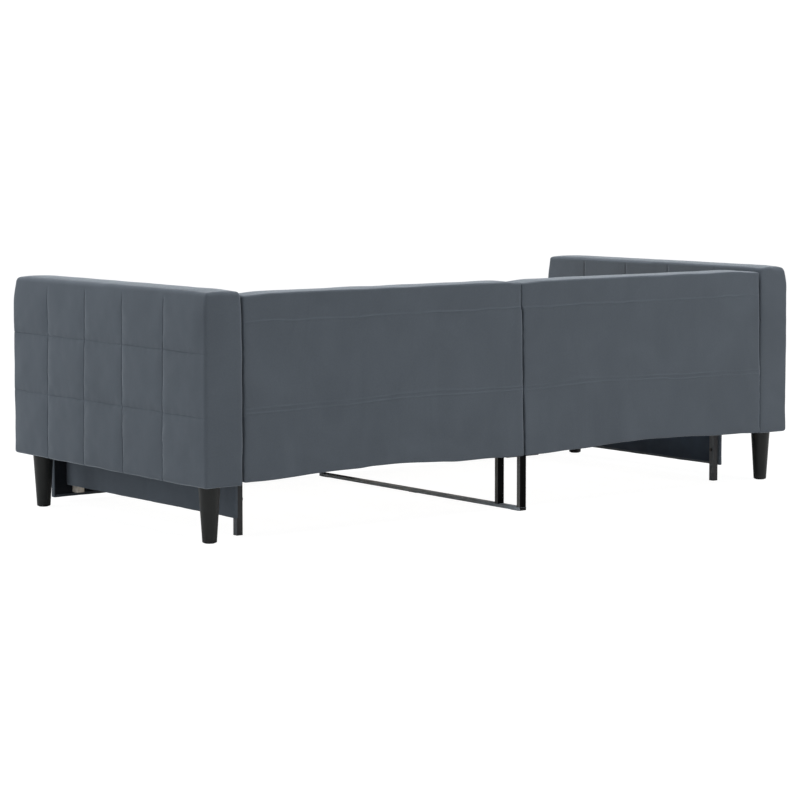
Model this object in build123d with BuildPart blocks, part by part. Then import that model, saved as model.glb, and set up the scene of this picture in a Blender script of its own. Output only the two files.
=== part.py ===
from build123d import *
import os

os.makedirs("parts", exist_ok=True)

# Day bed for a 900 x 2000 mm mattress, with a second bed (trundle) that rolls out
# from under it to the front.  Millimetres.  +X to the right arm seen from the
# front, +Y to the back, +Z up, origin on the floor under the middle.

# ---------------------------------------------------------------- driving sizes
LENGTH = 2250.0            # over both arms
DEPTH = 1040.0             # front of the arms to the rear of the backs
HEIGHT = 692.0             # crown of the arms
ARM_T = 120.0              # arm thickness
ARM_Z0 = 160.0             # underside of the arms, top of the legs
PAD_T = 20.0               # foam and velvet on the frames
EDGE_R = 24.0              # soft edges of arms and backs

BACK_T = 105.0             # back panel thickness
BACK_TOP = 681.0           # crown of the backs
BACK_Z0 = 165.0            # hem of the backs
BACK_GAP = 3.0             # each back's inner end to the middle plane
BACK_END = 1003.0          # each back's outer end

LEG_X, LEG_Y = 1065.0, 447.0   # leg axes
LEG_R_TOP, LEG_R_FOOT = 30.5, 20.0
GLIDE_T = 1.5

RAIL_Z0, RAIL_Z1 = 303.0, 393.0     # upholstered front rail
SLAT_Z0, SLAT_T = 345.0, 12.0       # underside and thickness of the main slats
SLAT_W = 65.0

POST_W, POST_D = 25.0, 14.5         # uprights of the centre support
BAR_Z0, BAR_Z1 = 0.8, 10.5          # its floor bar

T_FRONT_X = 998.0          # half length of the trundle's front panel
T_Z0, T_Z1 = 13.0, 300.0   # its lower and upper edge
T_FACE = -499.7            # inner face of the lined front panel
T_SIDE_X, T_SIDE_XR = 955.5, 945.0      # outer face of the trundle's sides, front and rear end
T_SIDE_END = 393.5         # rear end of the trundle's sides
T_SIDE_Z0, T_SIDE_Z1 = 50.0, 240.0
T_SLAT_Z0, T_SLAT_T = 161.0, 12.0
T_IN = 934.0               # inner faces of the lined sides
TUBE = 20.0                # square rear legs
TL_Y0 = 367.0              # their front faces
TL_Y = TL_Y0 + TUBE / 2
TUBE_WALL = 1.5
CASTER_X, CASTER_Y = 750.0, -478.5
WHEEL_R, WHEEL_W = 20.0, 18.0

# ---------------------------------------------------------------- derived sizes
HALF = LENGTH / 2
Y_F, Y_R = -DEPTH / 2, DEPTH / 2
ARM_IN = HALF - ARM_T                       # inner faces of the arms, 1005
CAV_IN, CAV_OUT = ARM_IN + PAD_T, HALF - PAD_T
BACK_F = Y_R - BACK_T                       # front faces of the backs, 415
BOLT_Y, BOLT_ZS = 487.0, (260.0, 520.0)     # back bolts, along X
RAIL_BOLT_ZS = (318.0, 342.0)               # rail brackets
RAIL_BOLT_YS = (-461.0, 365.0)              # bolts into the arms, along X
RAIL_PLATE_X = 982.0                        # bolts into the rails, along Y
SLAT_XS = [70.0 + 140.0 * i for i in range(7)]
T_SLAT_XS = [67.0 + 134.0 * i for i in range(7)]
PLATE_SCREW = 25.5                          # leg plate screws from the leg axis


def board(x, y, z, mode=Mode.ADD):
    """A squared member between the given x, y and z limits, in the open part."""
    with Locations(((x[0] + x[1]) / 2, (y[0] + y[1]) / 2, (z[0] + z[1]) / 2)):
        Box(x[1] - x[0], y[1] - y[0], z[1] - z[0], mode=mode)


def rod_x(x, y, z, r, mode=Mode.ADD):
    """A round bar or hole along X from x[0] to x[1]."""
    with BuildSketch(Plane(origin=(x[0], y, z), x_dir=(0, 1, 0), z_dir=(1, 0, 0))) as section:
        Circle(r)
    extrude(section.sketch, amount=x[1] - x[0], mode=mode)


def rod_y(x, y, z, r, mode=Mode.ADD):
    """A round bar or hole along Y from y[0] to y[1]."""
    with BuildSketch(Plane(origin=(x, y[0], z), x_dir=(1, 0, 0), z_dir=(0, 1, 0))) as section:
        Circle(r)
    extrude(section.sketch, amount=y[1] - y[0], mode=mode)


def rod_z(x, y, z, r, mode=Mode.ADD):
    """A round bar or hole along Z from z[0] to z[1]."""
    with BuildSketch(Plane.XY.offset(z[0])) as section:
        with Locations((x, y)):
            Circle(r)
    extrude(section.sketch, amount=z[1] - z[0], mode=mode)


def hex_x(x, y, z, r, mode=Mode.ADD):
    """A hexagon head or nut along X."""
    with BuildSketch(Plane(origin=(x[0], y, z), x_dir=(0, 1, 0), z_dir=(1, 0, 0))) as section:
        RegularPolygon(r, 6)
    extrude(section.sketch, amount=x[1] - x[0], mode=mode)


def hex_y(x, y, z, r, mode=Mode.ADD):
    """A hexagon head along Y."""
    with BuildSketch(Plane(origin=(x, y[0], z), x_dir=(1, 0, 0), z_dir=(0, 1, 0))) as section:
        RegularPolygon(r, 6)
    extrude(section.sketch, amount=y[1] - y[0], mode=mode)


def arched_edge(x0, z0, rise):
    """Trims the lower edge of a back panel to z0, with a shallow arch between its ends."""
    with BuildSketch(Plane(origin=(0, Y_R + 5, 0), x_dir=(1, 0, 0), z_dir=(0, -1, 0))) as section:
        with BuildLine():
            Polyline((x0, BACK_Z0 - 20), (x0, z0), (210.0, z0))
            ThreePointArc((210.0, z0), (570.0, z0 + rise), (930.0, z0))
            Polyline((930.0, z0), (1010.0, z0), (1010.0, BACK_Z0 - 20), (x0, BACK_Z0 - 20))
        make_face()
    extrude(section.sketch, amount=BACK_T + 10, mode=Mode.SUBTRACT)


def save(part, name):
    part.label = name
    export_step(part, "parts/" + name + ".step")


# ================================================================= fixed body
# ---- arms: a padded velvet box over a timber ladder frame with hardboard skins
with BuildPart() as arm_right_cover:
    board((ARM_IN, HALF), (Y_F, Y_R), (ARM_Z0, HEIGHT))
    fillet(arm_right_cover.edges().filter_by(Axis.Z), EDGE_R)
    fillet(arm_right_cover.faces().sort_by(Axis.Z)[-1].edges(), EDGE_R - 4)
    board((CAV_IN, CAV_OUT), (Y_F + PAD_T, Y_R - PAD_T), (ARM_Z0, HEIGHT - PAD_T), Mode.SUBTRACT)
    for z in BOLT_ZS:
        rod_x((ARM_IN - 1, CAV_IN + 1), BOLT_Y, z, 4.2, Mode.SUBTRACT)
    for y in RAIL_BOLT_YS:
        for z in RAIL_BOLT_ZS:
            rod_x((ARM_IN - 1, CAV_IN + 1), y, z, 4.2, Mode.SUBTRACT)
with BuildPart() as arm_left_cover:
    mirror(arm_right_cover.part, about=Plane.YZ)

FR_IN, FR_OUT = CAV_IN + 3.0, CAV_OUT - 3.0       # frame between its two skins
FR_Z0, FR_Z1 = ARM_Z0 + 4.0, HEIGHT - PAD_T
with BuildPart() as arm_right_frame:
    board((FR_IN, FR_OUT), (Y_F + PAD_T, Y_R - PAD_T), (FR_Z0, FR_Z1))
    # openings between posts and rails
    for y0, y1 in ((-446.0, -139.0), (-114.0, 126.0), (151.0, 350.0), (380.0, 475.0)):
        for z0, z1 in ((FR_Z0 + 25, 395.0), (420.0, FR_Z1 - 25)):
            board((FR_IN - 1, FR_OUT + 1), (y0, y1), (z0, z1), Mode.SUBTRACT)
    # blocks that take the leg studs
    for y in (-LEG_Y, LEG_Y):
        board((FR_IN, FR_OUT), (y - 30, y + 30), (FR_Z0 + 20, FR_Z0 + 50))
    for y in (-LEG_Y, LEG_Y):
        rod_z(LEG_X, y, (FR_Z0 - 1, FR_Z0 + 47), 4.2, Mode.SUBTRACT)
        for dx in (-PLATE_SCREW, PLATE_SCREW):
            for dy in (-PLATE_SCREW, PLATE_SCREW):
                rod_z(LEG_X + dx, y + dy, (FR_Z0 - 1, FR_Z0 + 17), 2.2, Mode.SUBTRACT)
    for z in BOLT_ZS:
        rod_x((FR_IN - 1, 1076.0), BOLT_Y, z, 4.2, Mode.SUBTRACT)
    for y in RAIL_BOLT_YS:
        for z in RAIL_BOLT_ZS:
            rod_x((FR_IN - 1, 1061.0), y, z, 4.2, Mode.SUBTRACT)
with BuildPart() as arm_left_frame:
    mirror(arm_right_frame.part, about=Plane.YZ)

with BuildPart() as arm_boards:
    board((CAV_IN, FR_IN), (Y_F + PAD_T, Y_R - PAD_T), (FR_Z0, FR_Z1))
    for z in BOLT_ZS:
        rod_x((CAV_IN - 1, FR_IN + 1), BOLT_Y, z, 4.2, Mode.SUBTRACT)
    for y in RAIL_BOLT_YS:
        for z in RAIL_BOLT_ZS:
            rod_x((CAV_IN - 1, FR_IN + 1), y, z, 4.2, Mode.SUBTRACT)
    board((FR_OUT, CAV_OUT), (Y_F + PAD_T, Y_R - PAD_T), (FR_Z0, FR_Z1))
    mirror(arm_boards.part, about=Plane.YZ)

with BuildPart() as arm_linings:
    board((CAV_IN, CAV_OUT), (Y_F + PAD_T, Y_R - PAD_T), (FR_Z0 - 1.5, FR_Z0))
    for y in (-LEG_Y, LEG_Y):
        rod_z(LEG_X, y, (FR_Z0 - 2, FR_Z0 + 1), 4.2, Mode.SUBTRACT)
        for dx in (-PLATE_SCREW, PLATE_SCREW):
            for dy in (-PLATE_SCREW, PLATE_SCREW):
                rod_z(LEG_X + dx, y + dy, (FR_Z0 - 2, FR_Z0 + 1), 2.2, Mode.SUBTRACT)
    mirror(arm_linings.part, about=Plane.YZ)

# ---- backs: two panels, padded at the front, top and ends, plain cloth behind
with BuildPart() as back_right_cover:
    board((BACK_GAP, BACK_END), (BACK_F, Y_R), (BACK_Z0, BACK_TOP))
    fillet(back_right_cover.faces().sort_by(Axis.Z)[-1].edges(), 18.0)
    fillet(back_right_cover.faces().sort_by(Axis.Y)[0].edges().filter_by(Axis.Z), 10.0)
    board((BACK_GAP + PAD_T, BACK_END - PAD_T), (BACK_F + PAD_T, Y_R - 4.0),
          (BACK_Z0, BACK_TOP - PAD_T), Mode.SUBTRACT)
    arched_edge(0.0, BACK_Z0, 12.0)
    for z in BOLT_ZS:
        rod_x((0.0, BACK_END + 1), BOLT_Y, z, 4.2, Mode.SUBTRACT)
with BuildPart() as back_left_cover:
    mirror(back_right_cover.part, about=Plane.YZ)

BF_X0, BF_X1 = BACK_GAP + PAD_T, BACK_END - PAD_T       # 23 .. 983
BF_Y0, BF_Y1 = BACK_F + PAD_T + 3.0, Y_R - 4.0          # 438 .. 516
BF_Z1 = BACK_TOP - PAD_T
with BuildPart() as back_right_frame:
    board((BF_X0, BF_X1), (BF_Y0, BF_Y1), (BACK_Z0, BF_Z1))
    # the lower edge of the top rail and the upper edge of the middle rail show
    # as two lines in the rear cloth
    for x0, x1 in ((BF_X0 + 25, 490.5), (515.5, BF_X1 - 25)):
        for z0, z1 in ((BACK_Z0 + 45, 320.0), (360.0, 604.0)):
            board((x0, x1), (BF_Y0 - 1, BF_Y1 + 1), (z0, z1), Mode.SUBTRACT)
    # the edge rises behind the hem, but for the end that the centre post carries
    arched_edge(75.0, BACK_Z0 + 3, 12.0)
    for z in BOLT_ZS:
        rod_x((0.0, BACK_END + 1), BOLT_Y, z, 4.2, Mode.SUBTRACT)
    rod_z(45.0, 498.0, (BACK_Z0 - 1, BACK_Z0 + 21), 2.2, Mode.SUBTRACT)
with BuildPart() as back_left_frame:
    mirror(back_right_frame.part, about=Plane.YZ)
    # this one is a little shorter at the arm, where its cover is slack
    board((-BF_X1 - 1.0, -BF_X1 + 12.0), (BF_Y0 - 1, BF_Y1 + 1), (BACK_Z0 - 1, BF_Z1 + 1), Mode.SUBTRACT)

with BuildPart() as back_boards:
    board((BF_X0, BF_X1), (BF_Y0 - 3.0, BF_Y0), (BACK_Z0, BF_Z1))
    arched_edge(0.0, BACK_Z0 + 3, 12.0)
    mirror(back_boards.part, about=Plane.YZ)
    board((-BF_X1 - 1.0, -BF_X1 + 12.0), (BF_Y0 - 4, BF_Y0 + 1), (BACK_Z0 - 1, BF_Z1 + 1), Mode.SUBTRACT)

# ---- bolts between the backs and the arms, and between the two backs
with BuildPart() as back_arm_bolts:
    for z in BOLT_ZS:
        rod_x((950.0, 1075.0), BOLT_Y, z, 4.0)
        hex_x((952.0, 958.0), BOLT_Y, z, 7.5)
    mirror(back_arm_bolts.part, about=Plane.YZ)

with BuildPart() as back_centre_bolts:
    for z in BOLT_ZS:
        rod_x((-56.0, 52.0), BOLT_Y, z, 4.0)
        hex_x((48.0, 54.0), BOLT_Y, z, 7.5)
        hex_x((-54.5, -48.0), BOLT_Y, z, 7.5)

# ---- legs: turned, tapered, on a stud and a steel plate
with BuildPart() as leg_rear_right:
    with BuildSketch(Plane.XY.offset(ARM_Z0)):
        with Locations((LEG_X, LEG_Y)):
            Circle(LEG_R_TOP)
    with BuildSketch(Plane.XY.offset(GLIDE_T)):
        with Locations((LEG_X, LEG_Y)):
            Circle(LEG_R_FOOT)
    loft()
    fillet(leg_rear_right.edges().sort_by(Axis.Z)[0], 3.0)
    rod_z(LEG_X, LEG_Y, (119.0, ARM_Z0 + 1), 4.2, Mode.SUBTRACT)
    rod_z(LEG_X, LEG_Y, (0.0, 13.0), 2.1, Mode.SUBTRACT)
with BuildPart() as leg_front_right:
    mirror(leg_rear_right.part, about=Plane.XZ)
with BuildPart() as leg_rear_left:
    mirror(leg_rear_right.part, about=Plane.YZ)
with BuildPart() as leg_front_left:
    mirror(leg_front_right.part, about=Plane.YZ)

LEG_SPOTS = [(sx * LEG_X, sy * LEG_Y) for sx in (-1, 1) for sy in (-1, 1)]
with BuildPart() as leg_studs:
    for x, y in LEG_SPOTS:
        rod_z(x, y, (120.0, FR_Z0 + 46), 4.0)

with BuildPart() as leg_plates:
    with BuildSketch(Plane.XY.offset(ARM_Z0)):
        with Locations(*LEG_SPOTS):
            RectangleRounded(60.0, 60.0, 5.0)
    extrude(amount=2.5)
    for x, y in LEG_SPOTS:
        rod_z(x, y, (ARM_Z0 - 1, ARM_Z0 + 4), 4.2, Mode.SUBTRACT)
        for dx in (-PLATE_SCREW, PLATE_SCREW):
            for dy in (-PLATE_SCREW, PLATE_SCREW):
                rod_z(x + dx, y + dy, (ARM_Z0 - 1, ARM_Z0 + 4), 2.2, Mode.SUBTRACT)
                rod_z(x + dx, y + dy, (ARM_Z0 - 1, ARM_Z0 + 1.5), 3.7, Mode.SUBTRACT)

with BuildPart() as leg_plate_screws:
    for x, y in LEG_SPOTS:
        for dx in (-PLATE_SCREW, PLATE_SCREW):
            for dy in (-PLATE_SCREW, PLATE_SCREW):
                rod_z(x + dx, y + dy, (ARM_Z0 + 0.2, ARM_Z0 + 1.5), 3.5)
                rod_z(x + dx, y + dy, (ARM_Z0 + 1.0, ARM_Z0 + 19), 2.0)

with BuildPart() as leg_glides:
    for x, y in LEG_SPOTS:
        rod_z(x, y, (0.0, GLIDE_T), 14.0)
        rod_z(x, y, (0.5, 12.0), 2.0)

# ---- slatted base hung between the arms
with BuildPart() as base_front_boards:
    board((1.0, 1000.0), (Y_F + 6, Y_F + 31), (RAIL_Z0 + 5, RAIL_Z1 - 5))
    for z in RAIL_BOLT_ZS:
        rod_y(RAIL_PLATE_X, (Y_F + 14, Y_F + 32), z, 4.2, Mode.SUBTRACT)
    mirror(base_front_boards.part, about=Plane.YZ)

with BuildPart() as base_front_cover:
    board((0.5, BACK_END), (Y_F, Y_F + 36), (RAIL_Z0, RAIL_Z1))
    fillet(base_front_cover.faces().sort_by(Axis.Y)[0].edges().filter_by(Axis.X), 8.0)
    board((-1.0, BACK_END + 1), (Y_F + 6, Y_F + 31), (RAIL_Z0 + 5, RAIL_Z1 - 5), Mode.SUBTRACT)
    for z in RAIL_BOLT_ZS:
        rod_y(RAIL_PLATE_X, (Y_F + 30, Y_F + 37), z, 4.2, Mode.SUBTRACT)
    mirror(base_front_cover.part, about=Plane.YZ)

RR_Y0, RR_Y1 = BACK_F - 27.0, BACK_F - 2.0            # rear rail, 388 .. 413
with BuildPart() as base_rear_rail:
    board((-1000.0, 1000.0), (RR_Y0, RR_Y1), (RAIL_Z0 + 2, SLAT_Z0 + SLAT_T))
    for x in (-RAIL_PLATE_X, RAIL_PLATE_X):
        for z in RAIL_BOLT_ZS:
            rod_y(x, (RR_Y0 - 1, RR_Y0 + 21), z, 4.2, Mode.SUBTRACT)
    for x in (-30.0, 30.0):
        rod_z(x, 400.5, (RAIL_Z0 + 1, RAIL_Z0 + 23), 2.2, Mode.SUBTRACT)

CL_F0, CL_F1 = Y_F + 36, Y_F + 61                     # front cleat, -484 .. -459
with BuildPart() as base_cleats:
    board((-950.0, 950.0), (CL_F0, CL_F1), (SLAT_Z0 - 25, SLAT_Z0))
    board((-950.0, 950.0), (RR_Y0 - 25, RR_Y0), (SLAT_Z0 - 25, SLAT_Z0))

with BuildPart() as base_cross_beam:
    board((-20.0, 20.0), (CL_F1, RR_Y0 - 25), (RAIL_Z0, SLAT_Z0 + SLAT_T))
    # housed over both cleats
    board((-20.0, 20.0), (CL_F0 + 1, RR_Y0 - 1), (SLAT_Z0, SLAT_Z0 + SLAT_T))

with BuildPart() as base_slats:
    with BuildSketch(Plane.XY.offset(SLAT_Z0)):
        with Locations(*[(s * x, (CL_F0 + RR_Y0) / 2) for x in SLAT_XS for s in (-1, 1)]):
            RectangleRounded(SLAT_W, RR_Y0 - CL_F0 - 4.0, 4.0)
    extrude(amount=SLAT_T)

# woven tapes stapled under the slats, one each side of the cross beam
with BuildPart() as base_slat_straps:
    for y in (-300.0, 205.0):
        board((24.0, 945.0), (y - 10, y + 10), (SLAT_Z0 - 0.8, SLAT_Z0))
    mirror(base_slat_straps.part, about=Plane.YZ)

# steel angles: one leg on the rail, the other on the arm
with BuildPart() as rail_brackets:
    for s in (-1, 1):
        for y_face, out in ((CL_F0, 1), (RR_Y0, -1)):
            ya, yb = sorted((y_face, y_face + out * 3.0))
            yc, yd = sorted((y_face, y_face + out * 43.0))
            xa, xb = sorted((s * 962.0, s * ARM_IN))
            xc, xd = sorted((s * (ARM_IN - 3.0), s * ARM_IN))
            board((xa, xb), (ya, yb), (RAIL_Z0 + 5, RAIL_Z0 + 49))
            board((xc, xd), (yc, yd), (RAIL_Z0 + 5, RAIL_Z0 + 49))
        for z in RAIL_BOLT_ZS:
            rod_y(s * RAIL_PLATE_X, (CL_F0 - 1, CL_F0 + 4), z, 4.2, Mode.SUBTRACT)
            rod_y(s * RAIL_PLATE_X, (RR_Y0 - 4, RR_Y0 + 1), z, 4.2, Mode.SUBTRACT)
            for y in RAIL_BOLT_YS:
                x0, x1 = sorted((s * (ARM_IN - 4.0), s * (ARM_IN + 1)))
                rod_x((x0, x1), y, z, 4.2, Mode.SUBTRACT)

with BuildPart() as rail_bolts:
    for z in RAIL_BOLT_ZS:
        for y in RAIL_BOLT_YS:
            rod_x((ARM_IN - 5.0, 1060.0), y, z, 4.0)
            hex_x((ARM_IN - 8.0, ARM_IN - 3.0), y, z, 7.5)
        rod_y(RAIL_PLATE_X, (Y_F + 15, CL_F0 + 5), z, 4.0)
        hex_y(RAIL_PLATE_X, (CL_F0 + 3, CL_F0 + 8), z, 7.5)
        rod_y(RAIL_PLATE_X, (RR_Y0 - 5, RR_Y0 + 20), z, 4.0)
        hex_y(RAIL_PLATE_X, (RR_Y0 - 8, RR_Y0 - 3), z, 7.5)
    mirror(rail_bolts.part, about=Plane.YZ)

# ---- centre support: flat bar on the floor, one upright under the joint of the
# two backs and one under the rear rail
PR_Y0 = 499.0
PI_Y0 = 398.0
with BuildPart() as support_foot_bar:
    board((-POST_W / 2, POST_W / 2), (-490.0, PR_Y0 + POST_D), (BAR_Z0, BAR_Z1))
    chamfer(support_foot_bar.faces().sort_by(Axis.Z)[-1].edges(), 0.6)

with BuildPart() as support_post_rear:
    board((-POST_W / 2, POST_W / 2), (PR_Y0, PR_Y0 + POST_D), (BAR_Z1, BACK_Z0 - 3))
    fillet(support_post_rear.edges().filter_by(Axis.Z), 1.5)
    board((-POST_W / 2 + 1.5, POST_W / 2 - 1.5), (PR_Y0 + 1.5, PR_Y0 + POST_D - 1.5),
          (BAR_Z1, BACK_Z0 - 3), Mode.SUBTRACT)
    board((-60.0, 60.0), (PR_Y0 - 15, PR_Y0 + POST_D), (BACK_Z0 - 3, BACK_Z0))
    for x in (-45.0, 45.0):
        rod_z(x, 498.0, (BACK_Z0 - 4, BACK_Z0 + 1), 2.2, Mode.SUBTRACT)

with BuildPart() as support_post_inner:
    board((-POST_W / 2, POST_W / 2), (PI_Y0, PI_Y0 + POST_D), (BAR_Z1, RAIL_Z0 - 1))
    fillet(support_post_inner.edges().filter_by(Axis.Z), 1.5)
    board((-POST_W / 2 + 1.5, POST_W / 2 - 1.5), (PI_Y0 + 1.5, PI_Y0 + POST_D - 1.5),
          (BAR_Z1, RAIL_Z0 - 1), Mode.SUBTRACT)
    board((-40.0, 40.0), (RR_Y0 + 1, RR_Y1), (RAIL_Z0 - 1, RAIL_Z0 + 2))
    for x in (-30.0, 30.0):
        rod_z(x, 400.5, (RAIL_Z0 - 2, RAIL_Z0 + 3), 2.2, Mode.SUBTRACT)

with BuildPart() as support_screws:
    for x in (-45.0, 45.0):
        rod_z(x, 498.0, (BACK_Z0 - 5, BACK_Z0 - 3), 4.0)
        rod_z(x, 498.0, (BACK_Z0 - 4, BACK_Z0 + 20), 2.0)
    for x in (-30.0, 30.0):
        rod_z(x, 400.5, (RAIL_Z0 - 3, RAIL_Z0 - 1), 4.0)
        rod_z(x, 400.5, (RAIL_Z0 - 2, RAIL_Z0 + 22), 2.0)

with BuildPart() as support_pads:
    with BuildSketch(Plane.XY):
        with Locations((0, -462.0), (0, 0), (0, 490.0)):
            RectangleRounded(24.0, 40.0, 2.0)
    extrude(amount=BAR_Z0)

# ================================================================= the trundle
# ---- front panel: two boards in velvet, black lining inside
TB_Y0, TB_Y1 = Y_F + 3.5, Y_F + 18.5                  # the boards, -516.5 .. -501.5
with BuildPart() as trundle_front_boards:
    board((2.0, T_FRONT_X - 5), (TB_Y0, TB_Y1), (T_Z0 + 4, T_Z1 - 4))
    for z in (80.0, 180.0):
        rod_y(921.5, (TB_Y1 - 12.5, TB_Y1 + 1), z, 3.2, Mode.SUBTRACT)
    mirror(trundle_front_boards.part, about=Plane.YZ)

with BuildPart() as trundle_front_cover:
    board((0.5, T_FRONT_X), (Y_F, TB_Y1 + 1), (T_Z0, T_Z1))
    fillet(trundle_front_cover.faces().sort_by(Axis.Y)[0].edges(), 3.0)
    board((2.0, T_FRONT_X - 5), (TB_Y0, TB_Y1), (T_Z0 + 4, T_Z1 - 4), Mode.SUBTRACT)
    # the velvet is turned over the edges of the inner side, and open inside them
    board((40.0, T_FRONT_X - 40), (TB_Y1 - 1, TB_Y1 + 2), (T_Z0 + 44, T_Z1 - 44), Mode.SUBTRACT)
    mirror(trundle_front_cover.part, about=Plane.YZ)

with BuildPart() as trundle_front_lining:
    board((-995.0, 995.0), (TB_Y1 + 1, T_FACE), (T_Z0 + 9, T_Z1 - 5))
    for x in (-921.5, 921.5):
        for z in (80.0, 180.0):
            rod_y(x, (TB_Y1, T_FACE + 1), z, 3.2, Mode.SUBTRACT)

with BuildPart() as trundle_joiner:
    board((-145.0, 145.0), (T_FACE, T_FACE + 12), (T_Z0, T_Z0 + 75))
    chamfer(trundle_joiner.faces().sort_by(Axis.Y)[-1].edges(), 2.0)

# ---- sides: a board in velvet, lined inside, open at the front end; the padding on the
# outer face runs out to nothing at the rear end
T_SIDE_BOLTS = ((TL_Y, 100.0), (TL_Y, 180.0), (-485.7, 60.0), (-485.7, 200.0))
with BuildPart() as trundle_side_boards:
    board((T_IN + 1.8, T_IN + 10), (T_FACE, T_SIDE_END - 1), (T_SIDE_Z0 + 1, T_SIDE_Z1 - 1))
    for y, z in T_SIDE_BOLTS:
        rod_x((T_IN, 942.5), y, z, 3.2, Mode.SUBTRACT)
    mirror(trundle_side_boards.part, about=Plane.YZ)

with BuildPart() as trundle_side_covers:
    with BuildSketch(Plane.XY.offset(T_SIDE_Z0)):
        with BuildLine():
            Polyline((T_IN + 0.8, T_FACE), (T_SIDE_X, T_FACE), (T_SIDE_XR, T_SIDE_END),
                     (T_IN + 0.8, T_SIDE_END), close=True)
        make_face()
    extrude(amount=T_SIDE_Z1 - T_SIDE_Z0)
    board((T_IN + 1.8, T_IN + 10), (T_FACE - 1, T_SIDE_END - 1),
          (T_SIDE_Z0 + 1, T_SIDE_Z1 - 1), Mode.SUBTRACT)
    board((T_IN, T_IN + 2.5), (T_FACE - 1, T_SIDE_END - 35),
          (T_SIDE_Z0 + 32, T_SIDE_Z1 - 32), Mode.SUBTRACT)
    for y, z in T_SIDE_BOLTS:
        rod_x((T_IN, T_IN + 2.5), y, z, 3.2, Mode.SUBTRACT)
    mirror(trundle_side_covers.part, about=Plane.YZ)

with BuildPart() as trundle_side_linings:
    board((T_IN, T_IN + 0.8), (T_FACE, T_SIDE_END - 8), (T_SIDE_Z0 + 8, T_SIDE_Z1 - 8))
    for y, z in T_SIDE_BOLTS:
        rod_x((T_IN - 1, T_IN + 2), y, z, 3.2, Mode.SUBTRACT)
    mirror(trundle_side_linings.part, about=Plane.YZ)

with BuildPart() as trundle_corner_battens:
    board((T_IN - 25, T_IN), (T_FACE, T_FACE + 28), (26.0, 235.0))
    chamfer(trundle_corner_battens.edges().filter_by(Axis.Z).group_by(Axis.Y)[-1], 1.5)
    for z in (60.0, 200.0):
        rod_x((T_IN - 26, T_IN + 1), -485.7, z, 3.2, Mode.SUBTRACT)
    for z in (80.0, 180.0):
        rod_y(921.5, (T_FACE - 1, T_FACE + 29), z, 3.2, Mode.SUBTRACT)
    mirror(trundle_corner_battens.part, about=Plane.YZ)

# ---- rear legs: square tube with plastic caps
with BuildPart() as trundle_rear_leg_right:
    board((T_IN - TUBE, T_IN), (TL_Y0, TL_Y0 + TUBE), (3.0, 198.0))
    fillet(trundle_rear_leg_right.edges().filter_by(Axis.Z), 2.0)
    board((T_IN - TUBE + TUBE_WALL, T_IN - TUBE_WALL),
          (TL_Y0 + TUBE_WALL, TL_Y0 + TUBE - TUBE_WALL), (2.0, 199.0), Mode.SUBTRACT)
    for z in (100.0, 180.0):
        rod_x((T_IN - TUBE - 1, T_IN + 1), TL_Y, z, 3.2, Mode.SUBTRACT)
with BuildPart() as trundle_rear_leg_left:
    mirror(trundle_rear_leg_right.part, about=Plane.YZ)

with BuildPart() as trundle_leg_caps:
    for z0, z1, p0, p1 in ((0.0, 3.0, 3.0, 18.0), (198.0, 200.0, 188.0, 198.0)):
        with BuildSketch(Plane.XY.offset(z0)):
            with Locations((T_IN - TUBE / 2, TL_Y)):
                RectangleRounded(TUBE, TUBE, 2.0)
        extrude(amount=z1 - z0)
        board((T_IN - TUBE + 2, T_IN - 2), (TL_Y0 + 2, TL_Y0 + TUBE - 2), (p0, p1))
    mirror(trundle_leg_caps.part, about=Plane.YZ)

# ---- deck: slats on a timber rail at the front and a steel angle at the rear
with BuildPart() as trundle_rear_rail:
    board((-910.5, 910.5), (387.5, 390.5), (158.0, 198.0))
    board((-910.5, 910.5), (350.5, 390.5), (158.0, 161.0))
    for s in (-1, 1):
        x0, x1 = sorted((s * 910.5, s * 913.5))
        board((x0, x1), (350.5, 390.5), (158.0, 198.0))
        x0, x1 = sorted((s * 909.0, s * 915.0))
        rod_x((x0, x1), TL_Y, 180.0, 3.2, Mode.SUBTRACT)

with BuildPart() as trundle_front_rail:
    board((-909.0, 909.0), (T_FACE, T_FACE + 30), (91.0, 161.0))

with BuildPart() as trundle_slats:
    with BuildSketch(Plane.XY.offset(T_SLAT_Z0)):
        with Locations(*[(s * x, (-498.0 + 385.0) / 2) for x in T_SLAT_XS for s in (-1, 1)]):
            RectangleRounded(SLAT_W, 883.0, 4.0)
    extrude(amount=T_SLAT_T)

with BuildPart() as trundle_slat_straps:
    for y in (-330.0, 200.0):
        board((-903.0, 903.0), (y - 10, y + 10), (T_SLAT_Z0 - 0.8, T_SLAT_Z0))

with BuildPart() as trundle_bolts:
    rod_x((T_IN - TUBE - 4, 942.0), TL_Y, 100.0, 3.0)
    hex_x((T_IN - TUBE - 4, T_IN - TUBE), TL_Y, 100.0, 5.5)
    rod_x((906.5, 942.0), TL_Y, 180.0, 3.0)
    hex_x((906.5, 910.5), TL_Y, 180.0, 5.5)
    for z in (60.0, 200.0):
        rod_x((T_IN - 29, 942.0), -485.7, z, 3.0)
        hex_x((T_IN - 29, T_IN - 25), -485.7, z, 5.5)
    for z in (80.0, 180.0):
        rod_y(921.5, (TB_Y1 - 12, T_FACE + 32), z, 3.0)
        hex_y(921.5, (T_FACE + 28, T_FACE + 32), z, 5.5)
    mirror(trundle_bolts.part, about=Plane.YZ)

# ---- fixed casters near the front
with BuildPart() as caster_blocks:
    board((CASTER_X - 32, CASTER_X + 32), (T_FACE, CASTER_Y + 30), (63.0, 91.0))
    chamfer(caster_blocks.edges().filter_by(Axis.Z).group_by(Axis.Y)[-1], 3.0)
    mirror(caster_blocks.part, about=Plane.YZ)

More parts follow.
